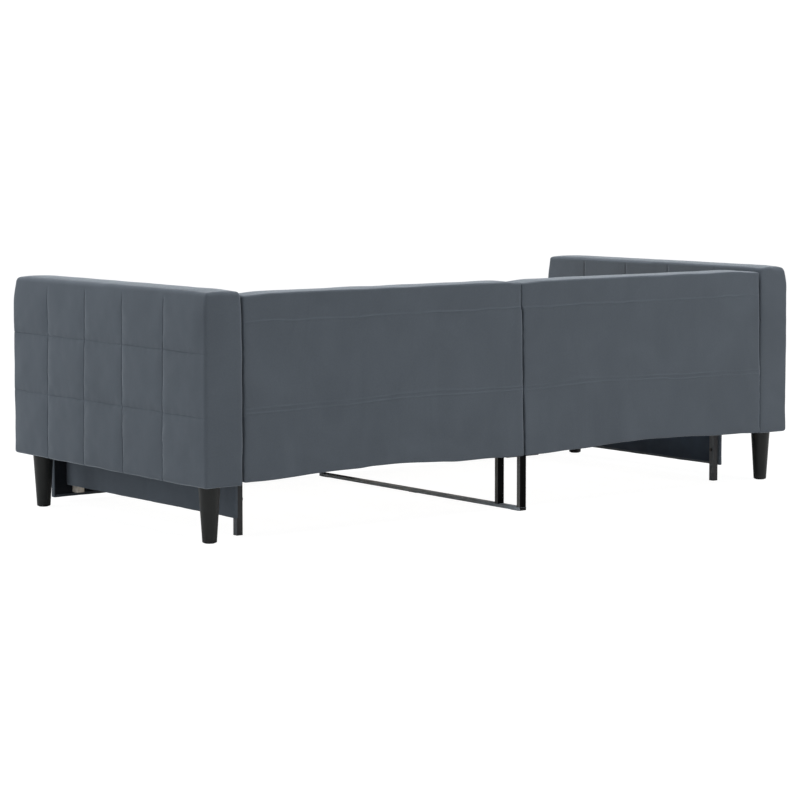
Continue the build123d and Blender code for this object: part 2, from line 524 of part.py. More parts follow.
with BuildPart() as caster_fork_right:
    with BuildSketch(Plane.XY.offset(61.0)):
        with Locations((CASTER_X, CASTER_Y)):
            RectangleRounded(50.0, 40.0, 4.0)
    extrude(amount=2.0)
    # two cheeks, rounded about the axle
    for x0 in (CASTER_X - 14, CASTER_X + 12):
        with BuildSketch(Plane(origin=(x0, CASTER_Y, WHEEL_R), x_dir=(0, 1, 0), z_dir=(1, 0, 0))):
            Circle(9.0)
            with BuildLine():
                Polyline((-8.6, -2.6), (8.6, -2.6), (16.0, 41.5), (-16.0, 41.5), close=True)
            make_face()
        extrude(amount=2.0)
    rod_x((CASTER_X - 15, CASTER_X + 15), CASTER_Y, WHEEL_R, 3.1, Mode.SUBTRACT)
with BuildPart() as caster_fork_left:
    mirror(caster_fork_right.part, about=Plane.YZ)

with BuildPart() as caster_axles:
    rod_x((CASTER_X - 14.2, CASTER_X + 14.2), CASTER_Y, WHEEL_R, 3.0)
    rod_x((CASTER_X - 16.2, CASTER_X - 14.2), CASTER_Y, WHEEL_R, 5.0)
    rod_x((CASTER_X + 14.2, CASTER_X + 16.2), CASTER_Y, WHEEL_R, 5.0)
    mirror(caster_axles.part, about=Plane.YZ)

with BuildPart() as caster_wheel_right:
    # plastic centre: rim, thin web and hub, turned about the axle
    with BuildSketch(Plane.XY.offset(WHEEL_R)):
        with BuildLine():
            Polyline((CASTER_X - 9, CASTER_Y + 3.05), (CASTER_X + 9, CASTER_Y + 3.05),
                     (CASTER_X + 9, CASTER_Y + 7), (CASTER_X + 4, CASTER_Y + 8),
                     (CASTER_X + 4, CASTER_Y + 12), (CASTER_X + 8, CASTER_Y + 13),
                     (CASTER_X + 8, CASTER_Y + 15), (CASTER_X - 8, CASTER_Y + 15),
                     (CASTER_X - 8, CASTER_Y + 13), (CASTER_X - 4, CASTER_Y + 12),
                     (CASTER_X - 4, CASTER_Y + 8), (CASTER_X - 9, CASTER_Y + 7), close=True)
        make_face()
    revolve(axis=Axis((CASTER_X, CASTER_Y, WHEEL_R), (1, 0, 0)))
with BuildPart() as caster_wheel_left:
    mirror(caster_wheel_right.part, about=Plane.YZ)

with BuildPart() as caster_tyre_right:
    rod_x((CASTER_X - WHEEL_W / 2, CASTER_X + WHEEL_W / 2), CASTER_Y, WHEEL_R, WHEEL_R)
    fillet(caster_tyre_right.edges(), 2.5)
    rod_x((CASTER_X - WHEEL_W / 2 - 1, CASTER_X + WHEEL_W / 2 + 1), CASTER_Y, WHEEL_R, 15.05,
          Mode.SUBTRACT)
with BuildPart() as caster_tyre_left:
    mirror(caster_tyre_right.part, about=Plane.YZ)

# ================================================================= export
for part, name in (
    (arm_right_cover.part, "arm_right_cover"), (arm_left_cover.part, "arm_left_cover"),
    (arm_right_frame.part, "arm_right_frame"), (arm_left_frame.part, "arm_left_frame"),
    (arm_boards.part, "arm_boards"), (arm_linings.part, "arm_linings"),
    (back_right_cover.part, "back_right_cover"), (back_left_cover.part, "back_left_cover"),
    (back_right_frame.part, "back_right_frame"), (back_left_frame.part, "back_left_frame"),
    (back_boards.part, "back_boards"),
    (back_arm_bolts.part, "back_arm_bolts"), (back_centre_bolts.part, "back_centre_bolts"),
    (leg_rear_right.part, "leg_rear_right"), (leg_front_right.part, "leg_front_right"),
    (leg_rear_left.part, "leg_rear_left"), (leg_front_left.part, "leg_front_left"),
    (leg_studs.part, "leg_studs"), (leg_plates.part, "leg_plates"),
    (leg_plate_screws.part, "leg_plate_screws"), (leg_glides.part, "leg_glides"),
    (base_front_boards.part, "base_front_boards"), (base_front_cover.part, "base_front_cover"),
    (base_rear_rail.part, "base_rear_rail"), (base_cleats.part, "base_cleats"),
    (base_cross_beam.part, "base_cross_beam"), (base_slats.part, "base_slats"),
    (base_slat_straps.part, "base_slat_straps"),
    (rail_brackets.part, "rail_brackets"), (rail_bolts.part, "rail_bolts"),
    (support_foot_bar.part, "support_foot_bar"), (support_post_rear.part, "support_post_rear"),
    (support_post_inner.part, "support_post_inner"), (support_screws.part, "support_screws"),
    (support_pads.part, "support_pads"),
    (trundle_front_boards.part, "trundle_front_boards"),
    (trundle_front_cover.part, "trundle_front_cover"),
    (trundle_front_lining.part, "trundle_front_lining"), (trundle_joiner.part, "trundle_joiner"),
    (trundle_side_boards.part, "trundle_side_boards"),
    (trundle_side_covers.part, "trundle_side_covers"),
    (trundle_side_linings.part, "trundle_side_linings"),
    (trundle_corner_battens.part, "trundle_corner_battens"),
    (trundle_rear_leg_right.part, "trundle_rear_leg_right"),
    (trundle_rear_leg_left.part, "trundle_rear_leg_left"),
    (trundle_leg_caps.part, "trundle_leg_caps"),
    (trundle_rear_rail.part, "trundle_rear_rail"), (trundle_front_rail.part, "trundle_front_rail"),
    (trundle_slats.part, "trundle_slats"), (trundle_slat_straps.part, "trundle_slat_straps"),
    (trundle_bolts.part, "trundle_bolts"),
    (caster_blocks.part, "caster_blocks"), (caster_fork_right.part, "caster_fork_right"),
    (caster_fork_left.part, "caster_fork_left"), (caster_axles.part, "caster_axles"),
    (caster_wheel_right.part, "caster_wheel_right"), (caster_wheel_left.part, "caster_wheel_left"),
    (caster_tyre_right.part, "caster_tyre_right"), (caster_tyre_left.part, "caster_tyre_left"),
):
    save(part, name)
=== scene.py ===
import math

import bpy
import numpy as np
from mathutils import Matrix, Vector


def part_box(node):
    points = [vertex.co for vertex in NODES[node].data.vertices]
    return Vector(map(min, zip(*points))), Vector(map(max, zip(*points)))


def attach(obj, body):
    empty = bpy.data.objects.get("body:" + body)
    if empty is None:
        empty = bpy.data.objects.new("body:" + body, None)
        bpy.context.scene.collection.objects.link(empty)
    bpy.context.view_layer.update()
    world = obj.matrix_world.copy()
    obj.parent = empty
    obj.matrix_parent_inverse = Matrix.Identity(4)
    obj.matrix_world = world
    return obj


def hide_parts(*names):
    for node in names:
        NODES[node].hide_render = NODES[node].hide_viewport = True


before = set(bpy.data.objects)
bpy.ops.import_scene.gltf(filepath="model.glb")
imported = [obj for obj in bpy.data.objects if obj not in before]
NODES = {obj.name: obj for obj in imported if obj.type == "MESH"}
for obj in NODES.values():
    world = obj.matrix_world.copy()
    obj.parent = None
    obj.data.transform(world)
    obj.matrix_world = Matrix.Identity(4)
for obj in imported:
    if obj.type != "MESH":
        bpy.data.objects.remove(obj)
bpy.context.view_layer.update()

SCENE = bpy.context.scene

# Metres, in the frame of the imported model: +X to the right arm seen from the front, +Y to the
# back, +Z up.

# ================================================================= small helpers


def smooth(a, b, v):
    t = np.clip((np.asarray(v, float) - a) / (b - a), 0.0, 1.0)
    return t * t * (3.0 - 2.0 * t)


def nearest(v, marks):
    """Distance from each v to the nearest of the marks."""
    d = np.full(np.shape(v), 9.0)
    for m in marks:
        d = np.minimum(d, np.abs(v - m))
    return d


def waves(u, v, size, seed, n=10):
    """A smooth random field of about unit size, made of plane waves of about that length."""
    rng = np.random.default_rng(seed)
    out = np.zeros(np.shape(u))
    for _ in range(n):
        a, ph = rng.uniform(0, 2 * math.pi, 2)
        k = 2 * math.pi / (size * rng.uniform(0.65, 1.7))
        out = out + np.sin(k * (u * math.cos(a) + v * math.sin(a)) + ph)
    return out / math.sqrt(n / 2.0)


def axis_lines(a, b, ra, rb, marks, step, offsets=(0.0012, 0.0028, 0.006, 0.012), extra=()):
    """Grid lines along one side of a padded box: close together in the rounded ends and by the
    seams, at the extra places, and about a step apart elsewhere."""
    keep = [a + ra * t for t in (0, 0.2, 0.45, 0.72, 1.0)]
    keep += [b - rb * t for t in (0, 0.2, 0.45, 0.72, 1.0)]
    for m in marks:
        keep.append(m)
        for o in offsets:
            keep += [m - o, m + o]
    keep += list(extra)
    keep = sorted(v for v in keep if a <= v <= b)
    must = {a, b, *marks}
    out = [keep[0]]
    for v in keep[1:]:
        if v - out[-1] < 0.0007:
            if v in must:
                out[-1] = v
            continue
        out.append(v)
    full = [out[0]]
    for v in out[1:]:
        n = max(1, math.ceil((v - full[-1]) / step - 0.2))
        full += list(np.linspace(full[-1], v, n + 1)[1:])
    return np.array(full)


def lattice_box(xs, ys, zs):
    """The outside of a grid box as vertices and quads that face outwards."""
    surf = np.zeros((len(xs), len(ys), len(zs)), bool)
    surf[0] = surf[-1] = True
    surf[:, 0] = surf[:, -1] = True
    surf[:, :, 0] = surf[:, :, -1] = True
    ids = -np.ones(surf.shape, int)
    ids[surf] = np.arange(surf.sum())
    i, j, k = np.nonzero(surf)
    co = np.stack([xs[i], ys[j], zs[k]], 1)

    def quads(a, flip):
        q = np.stack([a[:-1, :-1], a[1:, :-1], a[1:, 1:], a[:-1, 1:]], -1).reshape(-1, 4)
        return q[:, ::-1] if flip else q

    faces = np.concatenate([
        quads(ids[0], True), quads(ids[-1], False),
        quads(ids[:, 0], False), quads(ids[:, -1], True),
        quads(ids[:, :, 0], True), quads(ids[:, :, -1], False)])
    return co, faces


def rounded(co, lo, hi, r_lo, r_hi):
    """Rounds the edges of the box from lo to hi. The radii may differ from point to point."""
    lo, hi = np.asarray(lo, float), np.asarray(hi, float)
    r_lo, r_hi = np.broadcast_to(r_lo, co.shape), np.broadcast_to(r_hi, co.shape)
    r = np.where(co < (lo + hi) / 2, r_lo, r_hi)
    q = np.clip(co, lo + r_lo, hi - r_hi)
    d = (co - q) / r
    n = np.linalg.norm(d, axis=1, keepdims=True)
    return np.where(n > 1e-9, q + r * d / np.maximum(n, 1e-9), co)


def new_mesh(name, co, faces, attributes=None):
    me = bpy.data.meshes.new(name)
    me.from_pydata([tuple(p) for p in co], [], [tuple(int(i) for i in f) for f in faces])
    for key, values in (attributes or {}).items():
        values = np.asarray(values, np.float32)
        if values.ndim == 2:
            a = me.attributes.new(key, "FLOAT_VECTOR", "POINT")
            a.data.foreach_set("vector", values.ravel())
        else:
            a = me.attributes.new(key, "FLOAT", "POINT")
            a.data.foreach_set("value", values)
    me.validate()
    me.update()
    me.shade_smooth()
    o = bpy.data.objects.new(name, me)
    SCENE.collection.objects.link(o)
    return o


def coords(me):
    a = np.zeros(len(me.vertices) * 3, np.float32)
    me.vertices.foreach_get("co", a)
    return a.reshape(-1, 3).astype(float)


def set_coords(me, co):
    me.vertices.foreach_set("co", np.asarray(co, np.float32).ravel())
    me.update()


def normals(me):
    a = np.zeros(len(me.vertices) * 3, np.float32)
    me.vertex_normals.foreach_get("vector", a)
    return a.reshape(-1, 3).astype(float)


def vector_attribute(me, name):
    a = np.zeros(len(me.vertices) * 3, np.float32)
    me.attributes[name].data.foreach_get("vector", a)
    return a.reshape(-1, 3).astype(float)


def put_float(me, name, values):
    a = me.attributes.get(name) or me.attributes.new(name, "FLOAT", "POINT")
    a.data.foreach_set("value", np.asarray(values, np.float32))


def apply_modifiers(o):
    """Replaces the object's mesh with what its modifiers make of it."""
    dg = bpy.context.evaluated_depsgraph_get()
    dg.update()
    me = bpy.data.meshes.new_from_object(o.evaluated_get(dg), preserve_all_data_layers=True, depsgraph=dg)
    old = o.data
    o.modifiers.clear()
    o.data = me
    me.name = o.name
    bpy.data.meshes.remove(old)
    me.shade_smooth()


def subdivide(o, levels=1):
    m = o.modifiers.new("sub", "SUBSURF")
    m.levels = m.render_levels = levels
    m.boundary_smooth = "PRESERVE_CORNERS"
    apply_modifiers(o)


def inflate(o, pinned, pressure, cap, frames=20, grow=0.0, weave=14.0):
    """Cloth under pressure from inside, held at the pinned vertices. Returns how far each vertex
    of the mesh moves, no more than cap."""
    start = coords(o.data)
    group = o.vertex_groups.new(name="pin")
    group.add([int(i) for i in np.nonzero(pinned)[0]], 1.0, "REPLACE")
    m = o.modifiers.new("cloth", "CLOTH")
    s = m.settings
    s.quality = 4
    s.mass = 0.25
    s.tension_stiffness = s.compression_stiffness = weave
    s.shear_stiffness = 4.0
    s.bending_stiffness = 0.4
    s.air_damping = 3.0
    s.use_pressure = True
    s.uniform_pressure_force = pressure
    s.vertex_group_mass = "pin"
    s.pin_stiffness = 1.0
    s.shrink_min = -grow
    s.effector_weights.gravity = 0.0
    m.collision_settings.use_collision = False
    m.collision_settings.use_self_collision = False
    m.point_cache.frame_start, m.point_cache.frame_end = 1, frames
    SCENE.frame_start, SCENE.frame_end = 1, frames
    for f in range(1, frames + 1):
        SCENE.frame_set(f)
    dg = bpy.context.evaluated_depsgraph_get()
    made = o.evaluated_get(dg)
    me = made.to_mesh()
    end = coords(me)
    made.to_mesh_clear()
    o.modifiers.clear()
    o.vertex_groups.clear()
    SCENE.frame_set(1)
    move = end - start
    size = np.linalg.norm(move, axis=1, keepdims=True)
    return move * (cap * np.tanh(size / cap) / np.maximum(size, 1e-9))


# ================================================================= materials


class Nodes:
    """A short way to write a material's nodes."""

    def __init__(self, name):
        self.mat = bpy.data.materials.new(name)
        self.mat.use_nodes = True
        self.t = self.mat.node_tree
        self.t.nodes.clear()
        self.out = self.t.nodes.new("ShaderNodeOutputMaterial")
        self.bsdf = self.t.nodes.new("ShaderNodeBsdfPrincipled")
        self.t.links.new(self.bsdf.outputs["BSDF"], self.out.inputs["Surface"])
        self.coord = self.t.nodes.new("ShaderNodeTexCoord").outputs["Object"]

    def node(self, kind, **values):
        n = self.t.nodes.new(kind)
        for k, v in values.items():
            setattr(n, k, v)
        return n

    def link(self, a, b):
        self.t.links.new(a, b)

    def put(self, socket, value):
        if isinstance(value, bpy.types.NodeSocket):
            self.link(value, socket)
        else:
            socket.default_value = value

    def scaled(self, sx, sy, sz, turn=(0, 0, 0)):
        m = self.node("ShaderNodeMapping")
        self.link(self.coord, m.inputs["Vector"])
        m.inputs["Scale"].default_value = (sx, sy, sz)
        m.inputs["Rotation"].default_value = turn
        return m.outputs["Vector"]

    def noise(self, scale, detail=2.0, rough=0.5, distortion=0.0, vector=None):
        n = self.node("ShaderNodeTexNoise")
        self.link(vector or self.coord, n.inputs["Vector"])
        n.inputs["Scale"].default_value = scale
        n.inputs["Detail"].default_value = detail
        n.inputs["Roughness"].default_value = rough
        n.inputs["Distortion"].default_value = distortion
        return n.outputs["Fac"]

    def voronoi(self, scale, vector=None, feature="F1", rand=1.0):
        n = self.node("ShaderNodeTexVoronoi", feature=feature)
        self.link(vector or self.coord, n.inputs["Vector"])
        n.inputs["Scale"].default_value = scale
        n.inputs["Randomness"].default_value = rand
        return n.outputs["Distance"]

    def wave(self, scale, direction="X", distortion=0.0, detail=2.0, detail_scale=1.0, vector=None, profile="SIN", kind="BANDS"):
        n = self.node("ShaderNodeTexWave", wave_type=kind, wave_profile=profile)
        if kind == "BANDS":
            n.bands_direction = direction
        else:
            n.rings_direction = direction
        self.link(vector or self.coord, n.inputs["Vector"])
        n.inputs["Scale"].default_value = scale
        n.inputs["Distortion"].default_value = distortion
        n.inputs["Detail"].default_value = detail
        n.inputs["Detail Scale"].default_value = detail_scale
        return n.outputs["Fac"]

    def ramp(self, fac, stops, interpolation="LINEAR"):
        n = self.node("ShaderNodeValToRGB")
        n.color_ramp.interpolation = interpolation
        e = n.color_ramp.elements
        while len(e) < len(stops):
            e.new(0.5)
        for el, (p, c) in zip(e, stops):
            el.position = p
            el.color = (*c, 1.0) if hasattr(c, "__len__") else (c, c, c, 1.0)
        self.link(fac, n.inputs["Fac"])
        return n.outputs["Color"]

    def math(self, op, a, b=0.0, c=None, clamp=False):
        n = self.node("ShaderNodeMath", operation=op, use_clamp=clamp)
        self.put(n.inputs[0], a)
        self.put(n.inputs[1], b)
        if c is not None:
            self.put(n.inputs[2], c)
        return n.outputs[0]

    def remap(self, v, a, b, lo, hi):
        n = self.node("ShaderNodeMapRange")
        self.link(v, n.inputs["Value"])
        for key, x in (("From Min", a), ("From Max", b), ("To Min", lo), ("To Max", hi)):
            n.inputs[key].default_value = x
        return n.outputs["Result"]

    def mix(self, fac, a, b, blend="MIX"):
        n = self.node("ShaderNodeMix", data_type="RGBA", blend_type=blend)
        self.put(n.inputs[0], fac)
        for socket, v in ((n.inputs[6], a), (n.inputs[7], b)):
            if hasattr(v, "__len__"):
                v = (*v, 1.0) if len(v) == 3 else v
            self.put(socket, v)
        return n.outputs[2]

    def attribute(self, name):
        return self.node("ShaderNodeAttribute", attribute_name=name).outputs["Fac"]

    def xyz(self, vector=None):
        n = self.node("ShaderNodeSeparateXYZ")
        self.link(vector or self.coord, n.inputs[0])
        return n.outputs

    def bump(self, height, distance, strength=1.0, after=None):
        n = self.node("ShaderNodeBump")
        self.link(height, n.inputs["Height"])
        n.inputs["Distance"].default_value = distance
        n.inputs["Strength"].default_value = strength
        if after is not None:
            self.link(after, n.inputs["Normal"])
        return n.outputs["Normal"]

    def finish(self, color=None, rough=None, normal=None, **constants):
        b = self.bsdf.inputs
        if color is not None:
            self.put(b["Base Color"], (*color, 1.0) if hasattr(color, "__len__") else color)
        if rough is not None:
            self.put(b["Roughness"], rough)
        if normal is not None:
            self.link(normal, b["Normal"])
        for key, v in constants.items():
            b[key.replace("_", " ")].default_value = v
        return self.mat


def k3(c, k):
    return tuple(min(1.0, x * k) for x in c)


VELVET_RGB = (0.0790, 0.0925, 0.1095)


def velvet(name="velvet", with_painted_light=True, tone=1.0):
    """Short pile velvet: patches where the pile lies differently, fine pile, a soft sheen; painted shade in the seams,
    on the arms' tops and beside the joints, painted highlight strips beside seams and joints and along the back's rear
    ridges, and lighter edges, partly worn pile and partly painted highlight."""
    n = Nodes(name)
    base = k3(VELVET_RGB, tone)
    patch = n.noise(5.5, 4.0, 0.55, 0.9)
    streak = n.noise(7.0, 3.0, 0.6, 1.2, n.scaled(1.0, 1.0, 0.35, (0.35, 0.2, 0.0)))
    pile = n.noise(1150.0, 2.0, 0.6)
    tuft = n.noise(210.0, 3.0, 0.65)
    color = n.ramp(patch, [(0.30, k3(base, 0.955)), (0.5, base), (0.70, k3(base, 1.045))])
    color = n.mix(1.0, color, n.ramp(streak, [(0.32, 0.965), (0.66, 1.035)]), "MULTIPLY")
    color = n.mix(1.0, color, n.ramp(tuft, [(0.30, 0.95), (0.70, 1.05)]), "MULTIPLY")
    color = n.mix(1.0, color, n.ramp(pile, [(0.25, 0.89), (0.75, 1.11)]), "MULTIPLY")
    rough = n.remap(tuft, 0.3, 0.7, 0.80, 0.93)
    height = n.math("ADD", n.math("MULTIPLY", pile, 0.6), n.math("MULTIPLY", tuft, 0.9))
    normal = n.bump(height, 0.0006, 0.42)
    if with_painted_light:
        painted_shade_mask = n.attribute("painted_shade_mask")
        wear_and_highlight_mask = n.attribute("wear_and_highlight_mask")
        highlight_fac = n.attribute("painted_highlight_mask")
        # painted shade: darker where the first attribute above asks, in the grooves of the seams, on the arms' tops and
        # beside the joints
        color = n.mix(n.math("MULTIPLY", painted_shade_mask, 0.20), color, k3(base, 0.40))
        # worn pile and painted highlight: lighter where the second attribute above asks, on edges and on the back's
        # rear ridges
        color = n.mix(n.math("MULTIPLY", wear_and_highlight_mask, 0.30), color, k3(base, 1.34))
        # painted highlight: light strips where the third attribute above asks, beside seams and joints
        color = n.mix(n.math("MULTIPLY", highlight_fac, 0.50), color, k3(base, 1.55))
    return n.finish(color, rough, normal, Sheen_Weight=0.60, Sheen_Roughness=0.30,
                    Sheen_Tint=(0.86, 0.93, 1.0, 1.0), Specular_IOR_Level=0.18)


def lining(name="lining", tone=1.0, cool=1.0):
    n = Nodes(name)
    fibre = n.noise(420.0, 4.0, 0.7, 1.5)
    dots = n.voronoi(330.0, rand=0.12)
    soft = n.noise(14.0, 3.0)
    color = n.mix(fibre, k3((0.0075, 0.0100 * cool ** 0.5, 0.0140 * cool), tone), k3((0.0150, 0.0195 * cool ** 0.5, 0.0265 * cool), tone))
    color = n.mix(1.0, color, n.ramp(soft, [(0.3, 0.85), (0.7, 1.15)]), "MULTIPLY")
    color = n.mix(n.math("MULTIPLY", n.ramp(dots, [(0.10, 1.0), (0.22, 0.0)]), 0.5), color, k3((0.006, 0.007, 0.010), tone))
    normal = n.bump(n.math("ADD", fibre, dots), 0.0003, 0.6)
    return n.finish(color, n.remap(fibre, 0.3, 0.7, 0.78, 0.95), normal, Specular_IOR_Level=0.25)


def webbing():
    n = Nodes("webbing")
    s = n.xyz()
    a = n.math("SINE", n.math("MULTIPLY", s[0], 2 * math.pi / 0.0032))
    b = n.math("SINE", n.math("MULTIPLY", s[1], 2 * math.pi / 0.0024))
    weave = n.math("MULTIPLY", a, b)
    dirt = n.noise(40.0, 4.0)
    color = n.mix(n.remap(weave, -1, 1, 0, 1), (0.40, 0.38, 0.34), (0.64, 0.62, 0.57))
    color = n.mix(1.0, color, n.ramp(dirt, [(0.3, 0.86), (0.7, 1.05)]), "MULTIPLY")
    return n.finish(color, 0.9, n.bump(weave, 0.0004, 0.8), Sheen_Weight=0.15, Sheen_Roughness=0.5)


def wood(name, along, pale, dark, scale=1.0, rough=0.62):
    """Planed wood, its grain along the given axis, with knots few and faint."""
    n = Nodes(name)
    stretch = {"X": (1.6, 26.0, 26.0), "Y": (26.0, 1.6, 26.0), "Z": (26.0, 26.0, 1.6)}[along]
    v = n.scaled(*[x * scale for x in stretch])
    warp = n.noise(0.55, 3.0, 0.5, 0.4, v)
    ring = n.wave(0.50, {"X": "Y", "Y": "X", "Z": "X"}[along], 9.0, 4.0, 0.55, v)
    pores = n.noise(5.0, 5.0, 0.7, 0.0, v)
    fine = n.noise(22.0, 3.0, 0.6, 0.0, v)
    each = n.noise(9.0, 1.0, 0.5, 0.0, n.scaled(*{"X": (0.15, 1.0, 1.0), "Y": (1.0, 0.15, 1.0), "Z": (1.0, 1.0, 0.15)}[along]))
    color = n.mix(n.math("MULTIPLY", n.ramp(ring, [(0.10, 0.0), (0.90, 1.0)]), 0.62), pale, dark)
    color = n.mix(1.0, color, n.ramp(each, [(0.30, 0.90), (0.70, 1.07)]), "MULTIPLY")
    color = n.mix(n.math("MULTIPLY", n.ramp(warp, [(0.35, 0.0), (0.7, 1.0)]), 0.35), color, k3(dark, 0.85))
    color = n.mix(1.0, color, n.ramp(pores, [(0.30, 0.86), (0.62, 1.04)]), "MULTIPLY")
    color = n.mix(1.0, color, n.ramp(fine, [(0.2, 0.94), (0.8, 1.06)]), "MULTIPLY")
    normal = n.bump(n.math("ADD", pores, n.math("MULTIPLY", fine, 0.6)), 0.0005, 0.5)
    return n.finish(color, n.remap(pores, 0.3, 0.7, rough - 0.08, rough + 0.1), normal,
                    Specular_IOR_Level=0.4)


def hardboard():
    n = Nodes("hardboard")
    fibre = n.noise(260.0, 5.0, 0.75, 2.0)
    cloud = n.noise(9.0, 3.0)
    color = n.mix(fibre, (0.20, 0.12, 0.065), (0.36, 0.24, 0.145))
    color = n.mix(1.0, color, n.ramp(cloud, [(0.3, 0.85), (0.7, 1.12)]), "MULTIPLY")
    return n.finish(color, n.remap(fibre, 0.3, 0.7, 0.45, 0.68), n.bump(fibre, 0.0002, 0.4))


def black_lacquer():
    """Satin black over turned wood: the grain just reads, the gloss is worn on the foot."""
    n = Nodes("black_wood")
    v = n.scaled(60.0, 60.0, 3.5)
    grain = n.noise(3.0, 4.0, 0.65, 0.3, v)
    dust = n.noise(70.0, 4.0, 0.6)
    foot = n.remap(n.xyz()[2], 0.0, 0.03, 1.0, 0.0)
    color = n.mix(grain, (0.0075, 0.0085, 0.0082), (0.0118, 0.0130, 0.0125))
    color = n.mix(n.math("MULTIPLY", n.math("MULTIPLY", foot, n.ramp(dust, [(0.45, 0.0), (0.7, 1.0)])), 0.5), color, (0.055, 0.055, 0.054))
    rough = n.remap(n.math("ADD", grain, n.math("MULTIPLY", dust, 0.5)), 0.5, 1.0, 0.34, 0.50)
    return n.finish(color, rough, n.bump(grain, 0.00025, 0.35), Specular_IOR_Level=0.26,
                    Coat_Weight=0.04, Coat_Roughness=0.3)


def powder_coat():
    n = Nodes("black_steel")
    peel = n.noise(900.0, 2.0, 0.5)
    cloud = n.noise(18.0, 4.0, 0.6)
    spots = n.noise(160.0, 3.0, 0.7)
    color = n.mix(cloud, (0.0150, 0.0155, 0.0160), (0.0230, 0.0235, 0.0240))
    color = n.mix(n.math("MULTIPLY", n.ramp(spots, [(0.66, 0.0), (0.74, 1.0)]), 0.35), color, (0.050, 0.049, 0.047))
    return n.finish(color, n.remap(cloud, 0.3, 0.7, 0.36, 0.50), n.bump(peel, 0.0003, 0.45),
                    Specular_IOR_Level=0.55)


def face_lit_steel(name, black, grey, level, cool=1.0, shadow_until=None):
    """Black tube with painted light: pale grey painted on its sides and along its top as a painted highlight, black
    where it faces the back, and a painted shadow that keeps the top black for the front part, up to the place along Y
    given as the last argument."""
    n = Nodes(name)
    cloud = n.noise(24.0, 4.0, 0.6)
    peel = n.noise(900.0, 2.0, 0.5)
    specks = n.noise(150.0, 3.0, 0.7)
    face = n.xyz(n.node("ShaderNodeTexCoord").outputs["Normal"])
    across = n.math("ABSOLUTE", face[0])
    above = n.math("MAXIMUM", face[2], 0.0)
    # painted shadow: in front of the given place along Y the top is kept black
    if shadow_until is not None:
        above = n.math("MULTIPLY", above, n.remap(n.xyz()[1], shadow_until, shadow_until + 0.09, 0.0, 1.0))
    # painted highlight: the sides and top are painted pale grey, the faces towards the back stay black
    lit_face = n.ramp(n.math("MAXIMUM", across, above), [(0.35, 0.0), (0.85, 1.0)])
    dark = n.mix(cloud, (black * 0.8, black * 0.8, black * 0.82), (black * 1.25, black * 1.25, black * 1.28))
    tint = (grey / cool, grey, grey * cool)
    pale = n.mix(cloud, k3(tint, 0.88), k3(tint, 1.12))
    color = n.mix(lit_face, dark, pale)
    color = n.mix(1.0, color, n.ramp(specks, [(0.30, 0.90), (0.72, 1.12)]), "MULTIPLY")
    return n.finish(color, n.remap(cloud, 0.3, 0.7, 0.55, 0.70), n.bump(peel, 0.0003, 0.4),
                    Specular_IOR_Level=level)


def zinc():
    n = Nodes("zinc")
    grain = n.voronoi(380.0)
    cloud = n.noise(60.0, 4.0, 0.6)
    color = n.mix(grain, (0.42, 0.43, 0.45), (0.66, 0.67, 0.68))
    color = n.mix(1.0, color, n.ramp(cloud, [(0.3, 0.78), (0.7, 1.05)]), "MULTIPLY")
    return n.finish(color, n.remap(cloud, 0.3, 0.7, 0.26, 0.48), n.bump(cloud, 0.0002, 0.3), Metallic=1.0)


def moulded(name, lo, hi, r0, r1, size):
    n = Nodes(name)
    grain = n.noise(size, 3.0, 0.6)
    cloud = n.noise(30.0, 3.0)
    color = n.mix(cloud, lo, hi)
    color = n.mix(1.0, color, n.ramp(grain, [(0.3, 0.88), (0.7, 1.12)]), "MULTIPLY")
    return n.finish(color, n.remap(grain, 0.3, 0.7, r0, r1), n.bump(grain, 0.0003, 0.5))


PINE_PALE, PINE_DARK = (0.74, 0.640, 0.510), (0.60, 0.480, 0.350)
BIRCH_PALE, BIRCH_DARK = (0.68, 0.545, 0.375), (0.54, 0.405, 0.255)

M_VELVET = velvet()
# painted light: a lighter copy of the velvet for the trundle's side panels, which stand in shade
M_VELVET_LIT = velvet("velvet_painted_lighter", tone=1.25)
M_LINING = lining("lining", 0.75)
# painted light: a much lighter, bluer copy of the same lining for the inner faces of the trundle's sides
M_LINING_LIT = lining("lining_painted_lighter", 3.30, 1.15)
M_WEBBING = webbing()
M_PINE = {a: wood("timber_" + a.lower(), a, PINE_PALE, PINE_DARK) for a in "XY"}
# painted light: a much paler copy of the pine for the trundle's corner battens, which stand in shade
M_PINE_LIT = wood("timber_painted_lighter", "Z", (0.92, 0.860, 0.780), (0.82, 0.740, 0.640))
M_BIRCH = wood("birch", "Y", BIRCH_PALE, BIRCH_DARK, 1.6, 0.55)
M_HARDBOARD = hardboard()
M_LACQUER = black_lacquer()
M_STEEL = powder_coat()
# painted light on the steel tubes: pale sides and tops, black towards the back; the foot bar also a painted shadow over
# its front part
M_SUPPORT = face_lit_steel("support_steel", 0.0008, 0.150, 0.05)
M_FOOT_STEEL = face_lit_steel("foot_bar_steel", 0.010, 0.420, 0.10, 1.13, -0.36)
M_LEG_STEEL = face_lit_steel("leg_steel", 0.055, 0.130, 0.15, 1.07)
M_ZINC = zinc()
M_PLASTIC = moulded("black_plastic", (0.017, 0.017, 0.018), (0.024, 0.024, 0.025), 0.42, 0.60, 700.0)
M_TYRE = moulded("tyre", (0.040, 0.040, 0.043), (0.055, 0.055, 0.058), 0.62, 0.85, 420.0)

